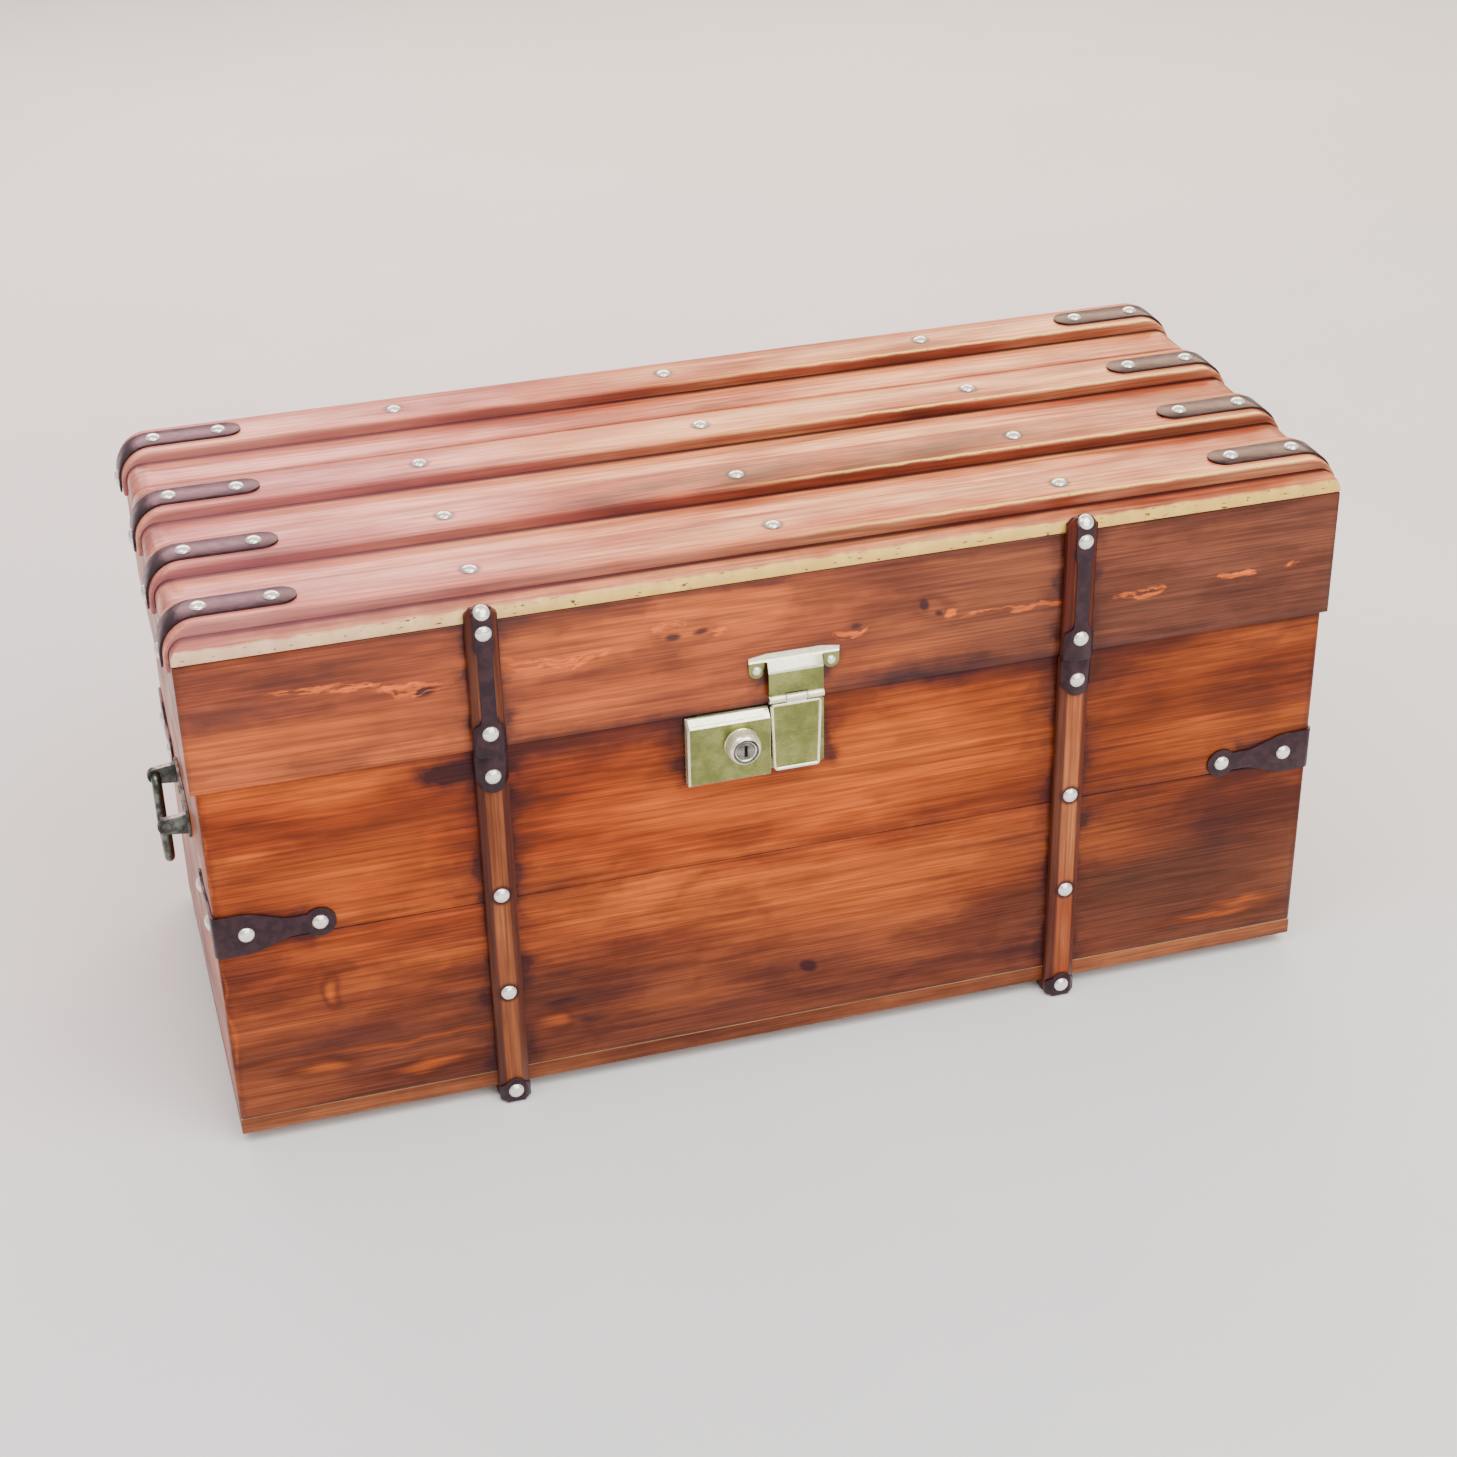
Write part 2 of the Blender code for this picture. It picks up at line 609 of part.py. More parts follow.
# Battens and their irons
def batten_mesh(name, length, nail_heights=(), top_radius=0):
    """An upright batten with chamfered edges: X across, Y in towards the board, from its foot at Z = 0."""
    top = [(BATTEN_THICKNESS, length)]
    if top_radius:
        centre = (BATTEN_THICKNESS - top_radius, length - top_radius)
        top = arc(centre, top_radius, 0, 90, LID_IRON_BEND_STEPS)
    bm = sheet(name, [(0, 0), (BATTEN_THICKNESS, 0)] + top + [(0, length)], BATTEN_WIDTH)
    chamfered = [edge for edge in bm.edges
                 if abs(edge.verts[0].co.z - edge.verts[1].co.z) < BATTEN_CHAMFER
                 and any(vert.co.x > FIT for vert in edge.verts)
                 and any(vert.co.y > FIT for vert in edge.verts)
                 and (top_radius or any(vert.co.y < length - FIT for vert in edge.verts))]
    bmesh.ops.bevel(bm, geom=chamfered, offset=BATTEN_CHAMFER, segments=1, profile=0.5, affect="EDGES",
                    material=-1)
    formed(bm, lambda x, y, z: Vector((z - BATTEN_WIDTH / 2, -x, y)))
    nails = [nail_head((0, -BATTEN_THICKNESS, height), FRONT) for height in nail_heights]
    return fused_mesh(name, mesh_of(bm, name), joined=nails)


def iron_place(s, t, n):
    """From a flat iron to a batten's front and chamfers; s runs up the batten, t across it."""
    side = -1 if t < 0 else 1
    gap = FIT + n
    widening = gap * math.tan(math.pi / 8)
    corner = BATTEN_FLAT / 2
    over = abs(t) - corner
    if over <= 0:
        return Vector((side * abs(t) * (1 + widening / corner), -(BATTEN_THICKNESS + gap), s))
    fall = over / math.sqrt(2)
    return Vector((side * (corner + widening + fall), fall - BATTEN_THICKNESS - gap, s))


def bent_over(turned_at, radius):
    """A place function for an iron that also folds inwards past a given height."""
    quarter = radius * math.pi / 2
    depth = BATTEN_THICKNESS + FIT

    def place(s, t, n):
        spot = iron_place(s, t, n)
        over = s - turned_at
        if over <= 0:
            return spot
        if over >= quarter:
            return Vector((spot.x, radius - depth + over - quarter, turned_at + radius + n))
        angle = over / radius
        return Vector((spot.x, radius - depth - (radius + n) * math.cos(angle),
                       turned_at + (radius + n) * math.sin(angle)))
    return place


def iron_half_width():
    """How far across a flat iron reaches to cover both chamfers of a batten."""
    return BATTEN_FLAT / 2 + BATTEN_SLOPE


def iron_creases():
    return (-BATTEN_FLAT / 2, BATTEN_FLAT / 2)


def lid_iron_mesh(batten_length):
    """Iron on a lid batten: round its front at the seam, a narrow neck, and folded over the batten's top."""
    length = batten_length + FIT
    wide = iron_half_width()
    neck = BATTEN_IRON_NECK / 2
    radius = BATTEN_TOP_RADIUS + FIT
    turned_at = length - radius
    quarter = radius * math.pi / 2
    far = turned_at + quarter + LID_IRON_TONGUE
    upper = turned_at - LID_IRON_CAP_LENGTH
    tongue = BATTEN_FLAT / 2 - FIT
    right = [(0, wide), (LID_IRON_CAP_LENGTH - LID_IRON_FLARE, wide), (LID_IRON_CAP_LENGTH, neck),
             (upper, neck), (upper + LID_IRON_FLARE, tongue), (far - LID_IRON_TONGUE, tongue),
             (far, tongue / 2)]
    outline = right + [(s, -t) for s, t in reversed(right)]
    bm = sheet("lid batten iron", outline, BATTEN_IRON_THICKNESS)
    crease(bm, iron_creases(), axis=1)
    bends = [turned_at + quarter * step / LID_IRON_BEND_STEPS for step in range(LID_IRON_BEND_STEPS + 1)]
    crease(bm, bends, axis=0)
    place = bent_over(turned_at, radius)
    formed(bm, place)
    spots = (LID_IRON_LOW_NAIL, length - LID_IRON_HIGH_NAIL_DROP, turned_at + quarter / 2)
    nails = [nail_on_sheet(place, s, 0, BATTEN_IRON_THICKNESS) for s in spots]
    return fused_mesh("lid batten iron", mesh_of(bm, "iron"), joined=nails)


def cap_mesh(name, length, nail_height):
    """A short iron wrapped round a batten, its far end drawn in to a rounded lip."""
    wide = iron_half_width()
    lip = length - LID_IRON_FLARE
    right = [(0, wide), (lip, wide)] + arc((lip, 0), LID_IRON_FLARE, 60, 0, LIP_STEPS)
    outline = right + [(s, -t) for s, t in reversed(right[:-1])]
    bm = sheet(name, outline, BATTEN_IRON_THICKNESS)
    crease(bm, iron_creases(), axis=1)
    formed(bm, iron_place)
    nail = nail_on_sheet(iron_place, nail_height, 0, BATTEN_IRON_THICKNESS)
    return fused_mesh(name, mesh_of(bm, name), joined=[nail])


def build_battens(trunk, lid):
    lid_length = LID_TOP - LID_UNDERSIDE - BATTEN_IRON_THICKNESS - FIT
    foot = FIT + BATTEN_IRON_THICKNESS + FIT
    base_length = SEAM - foot
    lid_batten = batten_mesh("lid front batten", lid_length, top_radius=BATTEN_TOP_RADIUS)
    lid_iron = lid_iron_mesh(lid_length)
    base_nails = [BASE_UNDERSIDE + height - foot for height in BATTEN_NAIL_HEIGHTS]
    base_batten = batten_mesh("base front batten", base_length, base_nails)
    seam_cap = cap_mesh("seam cap", SEAM_CAP_LENGTH, SEAM_CAP_NAIL_DROP)
    foot_cap = foot_cap_mesh()
    back_lid = batten_mesh("lid back batten", LID_HEIGHT - BACK_BATTEN_SHY - LID_EDGE_RADIUS,
                           [height - BACK_BATTEN_SHY for height in BACK_LID_NAIL_HEIGHTS], BATTEN_TOP_RADIUS)
    back_base_nails = [BASE_UNDERSIDE + height for height in BATTEN_NAIL_HEIGHTS]
    back_base = batten_mesh("base back batten", SEAM - BACK_BATTEN_SHY - FIT, back_base_nails)
    runner = block("bottom runner", (BATTEN_WIDTH, BASE_DEPTH, RUNNER_THICKNESS))
    for side_name, side in (("left", -1), ("right", 1)):
        x = side * BATTEN_SPACING / 2
        front = Vector((x, -BASE_HALF_DEPTH - FIT, 0))
        lid_front = lid_place(lid, (x, -LID_FRONT - FIT, LID_UNDERSIDE))
        back = Vector((x, BASE_HALF_DEPTH + FIT, 0))
        add_part(f"lid_front_batten_{side_name}", lid_batten, "batten pine", lid, location=lid_front)
        add_part(f"lid_batten_iron_{side_name}", lid_iron, "black iron", lid, location=lid_front)
        add_part(f"base_front_batten_{side_name}", base_batten, "batten pine", trunk,
                 location=front + Vector((0, 0, foot)))
        add_part(f"batten_seam_cap_{side_name}", seam_cap, "black iron", trunk,
                 location=front + Vector((0, 0, SEAM)), turn=(0, math.pi, 0))
        add_part(f"batten_foot_cap_{side_name}", foot_cap, "black iron", trunk,
                 location=front + Vector((0, 0, FOOT_CAP_HEIGHT + FIT)), turn=(0, math.pi, 0))
        add_part(f"lid_back_batten_{side_name}", back_lid, "batten pine", lid,
                 location=lid_place(lid, back + Vector((0, 0, SEAM + BACK_BATTEN_SHY))), turn=(0, 0, math.pi))
        add_part(f"base_back_batten_{side_name}", back_base, "batten pine", trunk,
                 location=back + Vector((0, 0, FIT)), turn=(0, 0, math.pi))
        add_part(f"bottom_runner_{side_name}", runner, "batten pine", trunk,
                 location=(x, 0, RUNNER_THICKNESS / 2))


def foot_cap_mesh():
    """Iron on a batten's foot: up its front and turned under its end, drawn upside down."""
    wide = iron_half_width()
    radius = FIT
    turned_at = FOOT_CAP_HEIGHT - radius - BATTEN_IRON_THICKNESS
    quarter = radius * math.pi / 2
    far = turned_at + quarter + FOOT_CAP_TONGUE
    tongue = BATTEN_FLAT / 2 - FIT
    near = arc((LID_IRON_FLARE, 0), LID_IRON_FLARE, 180, 120, LIP_STEPS)
    right = near + [(LID_IRON_FLARE, wide), (turned_at - FIT, wide), (turned_at - FIT, tongue), (far, tongue)]
    outline = right + [(s, -t) for s, t in reversed(right[1:])]
    bm = sheet("foot cap", outline, BATTEN_IRON_THICKNESS)
    crease(bm, iron_creases(), axis=1)
    crease(bm, [turned_at, turned_at + quarter / 2, turned_at + quarter], axis=0)
    place = bent_over(turned_at, radius)
    formed(bm, place)
    nail = nail_on_sheet(place, FOOT_CAP_HEIGHT - FOOT_CAP_NAIL_HEIGHT, 0, BATTEN_IRON_THICKNESS)
    return fused_mesh("foot cap", mesh_of(bm, "foot"), joined=[nail])


# Corner bands
def band_place(s, t, n):
    """From a flat band to a corner of the base whose faces look along -X and -Y; s is 0 on the corner."""
    radius = CORNER_RADIUS + FIT
    half_arc = radius * math.pi / 4
    if abs(s) <= half_arc:
        angle = math.radians(225) + s / radius
        out = radius + n
        return Vector((CORNER_RADIUS + out * math.cos(angle), CORNER_RADIUS + out * math.sin(angle), t))
    leg = CORNER_RADIUS + abs(s) - half_arc
    if s > 0:
        return Vector((leg, -(FIT + n), t))
    return Vector((-(FIT + n), leg, t))


def band_mesh():
    """Corner band: wide on the corner, drawn in to a neck, with a round lobe at each tip."""
    shift = (CORNER_RADIUS + FIT) * math.pi / 4 - CORNER_RADIUS
    lobe = BAND_FAR_NAIL + shift
    neck = BAND_NECK_WIDTH / 2
    spread = (BAND_CORNER_WIDTH - BAND_NECK_WIDTH) / 2
    meets = math.degrees(math.asin(neck / BAND_LOBE_RADIUS))
    flare = lobe - BAND_LOBE_RADIUS * math.cos(math.radians(meets))
    upper = [(flare * along, neck + spread * out) for along, out in BAND_FLARE_SHARES]
    tip = arc((lobe, 0), BAND_LOBE_RADIUS, 180 - meets, meets - 180, 2 * LOBE_STEPS)
    lower = [(s, -t) for s, t in reversed(upper)]
    right = upper + tip + lower
    left = [(-s, t) for s, t in reversed(right)]
    bm = sheet("corner band", right + left, BAND_THICKNESS)
    half_arc = (CORNER_RADIUS + FIT) * math.pi / 4
    crease(bm, [half_arc * step / 2 for step in range(-2, 3)], axis=0)
    formed(bm, band_place)
    nails = [nail_on_sheet(band_place, side * (place + shift), 0, BAND_THICKNESS)
             for side in (-1, 1) for place in (BAND_NEAR_NAIL, BAND_FAR_NAIL)]
    return fused_mesh("corner band", mesh_of(bm, "band"), joined=nails)


def build_bands(trunk):
    band = band_mesh()
    height = BASE_UNDERSIDE + BAND_HEIGHT
    corners = (("front_left", -1, -1, 0), ("front_right", 1, -1, 90), ("rear_right", 1, 1, 180),
               ("rear_left", -1, 1, 270))
    for name, x, y, turn in corners:
        corner = (x * BASE_HALF_LENGTH, y * BASE_HALF_DEPTH, height)
        add_part(f"corner_band_{name}", band, "black iron", trunk, location=corner,
                 turn=(0, 0, math.radians(turn)))


# Lock, drawn with X along the trunk, Y in towards the wood and Z up, from the base's front face
def upright(x, y, z):
    """Stands a sheet drawn in X and Y up against the front, its thickness reaching forwards."""
    return Vector((x, -z, y))


def build_lock(trunk):
    face = Vector((0, -BASE_HALF_DEPTH, 0))
    outline = rounded_rectangle(LOCK_LEFT, LOCK_RIGHT, LOCK_LOW, LOCK_TOP, LOCK_PLATE_CORNER)
    bm = sheet("lock plate", outline, LOCK_PLATE_THICKNESS)
    add_part("lock_plate", mesh_of(formed(bm, upright), "lock plate"), "lock brass", trunk,
             location=face + FRONT * FIT)
    build_lock_case(trunk, face)
    build_barrel(trunk, face)
    build_key_plug(trunk, face)
    build_bolt(trunk, face)


def build_lock_case(trunk, face):
    """Raised case with a bevelled front, hollow, with a bore for the barrel and a window for the bolt."""
    centre = Vector((LOCK_LEFT + CASE_LENGTH / 2, -(CASE_BACK + CASE_FRONT) / 2, (LOCK_LOW + LOCK_TOP) / 2))
    size = Vector((CASE_LENGTH, CASE_DEPTH, LOCK_TOP - LOCK_LOW))
    bm = bmesh.new()
    bmesh.ops.create_cube(bm, size=1, matrix=Matrix.Diagonal((*size, 1)))
    front_edges = [edge for edge in bm.edges if all(vert.co.y < 0 for vert in edge.verts)]
    bmesh.ops.bevel(bm, geom=front_edges, offset=CASE_BEVEL, segments=2, profile=0.5, affect="EDGES",
                    material=-1)
    case = add_part("lock_case", mesh_of(bm, "lock case"), "lock brass", trunk, location=face + centre)
    hollow_depth = CASE_DEPTH - CASE_WALL
    hollow = Vector((CASE_LENGTH - 2 * CASE_BEVEL, hollow_depth + OVERRUN, size.z - 2 * CASE_BEVEL))
    hollow_y = CASE_DEPTH / 2 - hollow_depth + hollow.y / 2
    combine(case, block("case hollow", hollow, (0, hollow_y, 0)), "DIFFERENCE")
    bore = Vector((BARREL_X, 0, BARREL_Z)) - Vector((centre.x, 0, centre.z))
    combine(case, rod("barrel bore", PLUG_RADIUS + FIT, 2 * CASE_DEPTH, FRONT, bore), "DIFFERENCE")
    window = Vector((2 * CASE_BEVEL + OVERRUN, BOLT_THICKNESS + 2 * FIT, BOLT_HEIGHT + 2 * FIT))
    place = Vector((CASE_LENGTH / 2, -(BOLT_BACK + BOLT_FRONT) / 2 - centre.y, BOLT_Z - centre.z))
    combine(case, block("bolt window", window, place), "DIFFERENCE")


def build_barrel(trunk, face):
    """Round collar that stands proud of the case, turned with a rounded rim and a groove at its foot."""
    bore = PLUG_RADIUS + FIT
    rim = (BARREL_RADIUS - BARREL_ROUNDING, BARREL_PROUD - BARREL_ROUNDING)
    groove_top = BARREL_GROOVE_HEIGHT + BARREL_GROOVE_WIDTH
    groove = BARREL_RADIUS - BARREL_GROOVE_DEPTH
    profile = ([(bore, BARREL_PROUD)] + arc(rim, BARREL_ROUNDING, 90, 0, 4)
               + [(BARREL_RADIUS, groove_top), (groove, groove_top), (groove, BARREL_GROOVE_HEIGHT),
                  (BARREL_RADIUS, BARREL_GROOVE_HEIGHT), (BARREL_RADIUS, 0), (bore, 0)])
    mesh = bpy.data.meshes.new("lock barrel")
    edges = [(index, (index + 1) % len(profile)) for index in range(len(profile))]
    mesh.from_pydata([(radius, 0, height) for radius, height in profile], edges, [])
    seat = face + Vector((BARREL_X, -(CASE_FRONT + FIT), BARREL_Z))
    barrel = add_part("lock_barrel", mesh, "lock brass", trunk, location=seat, turn=(math.pi / 2, 0, 0))
    screw = barrel.modifiers.new("turned", "SCREW")
    screw.steps = ROUND_STEPS
    screw.render_steps = ROUND_STEPS
    screw.use_merge_vertices = True
    screw.merge_threshold = FIT / 10
    screw.use_smooth_shade = True


def build_key_plug(trunk, face):
    """Turning plug with a keyway in front and a crank pin behind, on its own axis."""
    pivot = add_pivot("key_plug_axis", trunk, face + Vector((BARREL_X, 0, BARREL_Z)))
    crank_front = CASE_FRONT - CASE_WALL - FIT
    crank_back = crank_front - CRANK_THICKNESS
    front = BARREL_FRONT - PLUG_SHY
    body = rod("plug", PLUG_RADIUS, front - crank_back, FRONT, (0, -(front + crank_back) / 2, 0))
    rest = Vector((-math.sin(KEY_TURN / 2), -math.cos(KEY_TURN / 2))) * CRANK_RADIUS
    arm_end = CRANK_PIN_RADIUS + FIT
    arm_outline = arc((0, 0), arm_end * 2, 90, -90, 6) + arc((-CRANK_RADIUS, 0), arm_end, 270, 90, 6)
    arm = sheet("crank arm", arm_outline, CRANK_THICKNESS - FIT)
    lean = math.atan2(rest.y, rest.x) - math.pi
    turn = Matrix.Rotation(lean, 3, "Z")
    formed(arm, lambda x, y, z: upright(*(turn @ Vector((x, y, z + crank_back + FIT / 2)))))
    pin_back = BOLT_BACK + FIT
    pin = rod("crank pin", CRANK_PIN_RADIUS, crank_front - FIT - pin_back, FRONT,
              (rest.x, -(crank_front - FIT + pin_back) / 2, rest.y), steps=PIN_STEPS)
    keyway = block("keyway", (KEYWAY_WIDTH, KEYWAY_DEPTH + OVERRUN, KEYWAY_HEIGHT),
                   (0, -(front - KEYWAY_DEPTH / 2 + OVERRUN / 2), 0))
    mesh = fused_mesh("key plug", body, joined=[mesh_of(arm, "crank arm"), pin], cut=[keyway])
    add_part("key_plug", mesh, "lock brass", pivot)


def build_bolt(trunk, face):
    """Sliding bolt: a nose in the case's window and a slotted tail round the crank pin."""
    nose = LOCK_LEFT + CASE_LENGTH - BOLT_SHY
    slot = CRANK_PIN_RADIUS + CRANK_PIN_CLEARANCE
    pin_x = BARREL_X - CRANK_RADIUS * math.sin(KEY_TURN / 2)
    dip = CRANK_RADIUS * (1 - math.cos(KEY_TURN / 2))
    slot_foot = -(dip + slot)
    low = slot_foot - BOLT_TAIL_RISE / 2
    tail_left = pin_x - BOLT_TAIL_LENGTH / 2
    tail_right = pin_x + BOLT_TAIL_LENGTH / 2
    high = BOLT_TAIL_RISE
    half = BOLT_HEIGHT / 2
    outline = [(nose, half), (nose, -half), (tail_right, -half), (tail_right, low), (tail_left, low),
               (tail_left, high), (pin_x - slot, high), (pin_x - slot, slot_foot), (pin_x + slot, slot_foot),
               (pin_x + slot, high), (tail_right, high), (tail_right, half)]
    bm = sheet("lock bolt", [(x - nose, z) for x, z in outline], BOLT_THICKNESS)
    add_part("lock_bolt", mesh_of(formed(bm, upright), "lock bolt"), "handle iron", trunk,
             location=face + Vector((nose, -BOLT_BACK, BOLT_Z)))


# Hasp and the T-shaped plate it hangs from, drawn from the hasp's pin
def build_hasp(lid):
    axis = Vector((HASP_X, -(BASE_HALF_DEPTH + HASP_AXIS_DEPTH), HASP_AXIS_Z))
    wood = HASP_AXIS_DEPTH - LID_FRONT_OVERHANG
    room = (HASP_KNUCKLE_RADIUS + FIT) * KNUCKLE_ROOM_SHARE
    add_hinge_plate(lid, axis, wood, room)
    pivot = add_pivot("hasp_axis", lid, lid_place(lid, axis))
    add_hasp(pivot, room)


def add_hinge_plate(lid, axis, wood, room):
    """T plate: ears nailed flat to the lid, a neck that leans out to two knuckles on a fixed pin."""
    half = HINGE_PLATE_SPAN / 2
    neck = HINGE_PLATE_NECK / 2
    slit = neck + HINGE_EAR_SLIT
    ear = (half - slit) / 2
    gap = HASP_KNUCKLE_LENGTH / 2 + HINGE_SIDE_GAP
    ear_foot = HINGE_EAR_HEIGHT - ear
    right = ([(neck, 0), (half, -HINGE_ARM_FALL)] + arc((half - ear, -ear_foot), ear, 0, -180, 6)
             + [(slit, -HINGE_PLATE_BAR), (neck, -HINGE_PLATE_BAR), (neck, -HINGE_PLATE_HEIGHT),
                (gap, -HINGE_PLATE_HEIGHT), (gap, room - HINGE_PLATE_HEIGHT)])
    outline = right + [(-x, y) for x, y in reversed(right)]
    bm = sheet("hinge plate", outline, HINGE_PLATE_THICKNESS)
    slope_end = HINGE_PLATE_BAR + HINGE_PLATE_SLOPE
    crease(bm, (-HINGE_PLATE_BAR, -slope_end), axis=1)
    seat = wood - FIT
    run_out = wood - HINGE_PLATE_THICKNESS / 2 - FIT

    def place(x, y, z):
        down = -y
        share = 0 if abs(x) > neck else min(max((down - HINGE_PLATE_BAR) / HINGE_PLATE_SLOPE, 0), 1)
        return Vector((x, seat - z - share * run_out, HINGE_PLATE_HEIGHT - down))

    formed(bm, place)
    side = neck - gap
    along = (1, 0, 0)
    joined = [rod("hasp pin", HASP_PIN_RADIUS, 2 * gap + side, along, steps=PIN_STEPS)]
    for sign in (-1, 1):
        middle = (sign * (gap + side / 2), 0, 0)
        joined.append(rod("knuckle", HASP_KNUCKLE_RADIUS, side, along, middle, steps=KNUCKLE_STEPS))
        spot = place(sign * (half - ear), -ear_foot, HINGE_PLATE_THICKNESS)
        joined.append(nail_head(spot, FRONT, HINGE_NAIL_RADIUS, HINGE_NAIL_RISE))
    mesh = fused_mesh("hinge plate", mesh_of(bm, "plate"), joined=joined)
    add_part("hasp_hinge_plate", mesh, "lock brass", lid, location=lid_place(lid, axis))


def add_hasp(pivot, room):
    """Hasp with a raised border, a knuckle on the pin and a staple behind for the bolt."""
    half = HASP_WIDTH / 2
    top = -room
    tab = HASP_KNUCKLE_LENGTH / 2
    shield = rounded_rectangle(-half, half, -HASP_LENGTH, top, HASP_CORNER)
    outline = [(tab, 0), (tab, top)] + shield[1:-1] + [(-tab, top), (-tab, 0)]
    bm = sheet("hasp", outline, HASP_THICKNESS)
    corner_foot = top - HASP_CORNER / 2
    rim = [edge for edge in bm.edges
           if all(vert.co.z > HASP_THICKNESS / 2 and vert.co.y < corner_foot for vert in edge.verts)]
    bmesh.ops.bevel(bm, geom=rim, offset=HASP_EDGE, segments=2, profile=0.5, affect="EDGES", material=-1)
    narrowing = (1 - HASP_TIP_WIDTH / HASP_WIDTH) / HASP_LENGTH

    def place(x, y, z):
        return Vector((x * (1 + y * narrowing), HASP_THICKNESS / 2 - z, y))

    formed(bm, place)
    inner = half - HASP_BORDER
    sunk = rounded_rectangle(-inner, inner, HASP_BORDER - HASP_LENGTH, top - HASP_BORDER, HASP_CORNER / 2)
    panel = sheet("hasp panel", sunk, HASP_PANEL_DEPTH + OVERRUN)
    bmesh.ops.translate(panel, verts=panel.verts, vec=(0, 0, HASP_THICKNESS - HASP_PANEL_DEPTH))
    formed(panel, place)
    knuckle = rod("hasp knuckle", HASP_KNUCKLE_RADIUS, HASP_KNUCKLE_LENGTH, (1, 0, 0), steps=KNUCKLE_STEPS)
    bore = rod("hasp bore", HASP_PIN_RADIUS + FIT, 2 * HASP_KNUCKLE_LENGTH, (1, 0, 0), steps=PIN_STEPS)
    eye = Vector((STAPLE_WIDTH + OVERRUN, BOLT_THICKNESS + 2 * FIT, BOLT_HEIGHT + 2 * STAPLE_ROOM))
    reach = BOLT_THICKNESS + HASP_OFF_BOLT + STAPLE_WALL
    loop = Vector((STAPLE_WIDTH, reach + HASP_THICKNESS / 2, eye.z + 2 * STAPLE_WALL))
    x = LOCK_LEFT + CASE_LENGTH + STAPLE_FROM_CASE - HASP_X + STAPLE_WIDTH / 2
    z = BOLT_Z - HASP_AXIS_Z
    behind = HASP_THICKNESS / 2
    staple = block("staple", loop, (x, behind - HASP_THICKNESS / 2 + loop.y / 2, z))
    bolt_middle = HASP_AXIS_DEPTH - (BOLT_BACK + BOLT_FRONT) / 2
    through = block("staple eye", eye, (x, bolt_middle, z))
    mesh = fused_mesh("hasp", mesh_of(bm, "hasp plate"), joined=[knuckle, staple],
                      cut=[bore, through, mesh_of(panel, "hasp panel")])
    add_part("hasp", mesh, "lock brass", pivot)


# Rear hinges, drawn from the pin: Y out from the wood
def leaf_mesh(name, up, fixed_pin):
    """One leaf with its knuckles; the base's leaf holds the pin, the lid's turns on it."""
    third = HINGE_WIDTH / 6
    clear = HINGE_KNUCKLE_RADIUS + FIT
    gap = HINGE_SIDE_GAP / 2
    half = HINGE_WIDTH / 2
    corner = HINGE_LEAF_CORNER
    far = arc((half - corner, HINGE_LEAF_HEIGHT - corner), corner, 0, 90, 3)
    if fixed_pin:
        right = [(third + gap, clear), (third + gap, 0), (half, 0)] + far
    else:
        right = [(third - gap, 0), (third - gap, clear + FIT), (half, clear)] + far
    outline = right + [(-x, y) for x, y in reversed(right)]
    bm = sheet(name, [(x, up * y) for x, y in outline], HINGE_LEAF_THICKNESS)
    wood = -HINGE_AXIS_OUT
    formed(bm, lambda x, y, z: Vector((x, wood + FIT + z, y)))
    along = (1, 0, 0)
    if fixed_pin:
        length = half - third - gap
        joined = [rod("hinge pin", HINGE_PIN_RADIUS, HINGE_WIDTH - length, along, steps=KNUCKLE_STEPS)]
        for side in (-1, 1):
            middle = (side * (half - length / 2), 0, 0)
            joined.append(rod("knuckle", HINGE_KNUCKLE_RADIUS, length, along, middle, steps=KNUCKLE_STEPS))
        return fused_mesh(name, mesh_of(bm, name), joined=joined)
    knuckle = rod("knuckle", HINGE_KNUCKLE_RADIUS, 2 * (third - gap), along, steps=KNUCKLE_STEPS)
    bore = rod("knuckle bore", HINGE_PIN_RADIUS + FIT, HINGE_WIDTH, along, steps=KNUCKLE_STEPS)
    return fused_mesh(name, mesh_of(bm, name), joined=[knuckle], cut=[bore])


def build_hinges(trunk, lid):
    lid_leaf = leaf_mesh("hinge lid leaf", 1, fixed_pin=False)
    base_leaf = leaf_mesh("hinge base leaf", -1, fixed_pin=True)
    for name, side in (("left", -1), ("right", 1)):
        axis = Vector((side * HINGE_X, BASE_HALF_DEPTH + HINGE_AXIS_OUT, SEAM + SEAM_GAP / 2))
        add_part(f"hinge_lid_leaf_{name}", lid_leaf, "black iron", lid, location=lid_place(lid, axis))
        add_part(f"hinge_base_leaf_{name}", base_leaf, "black iron", trunk, location=axis)


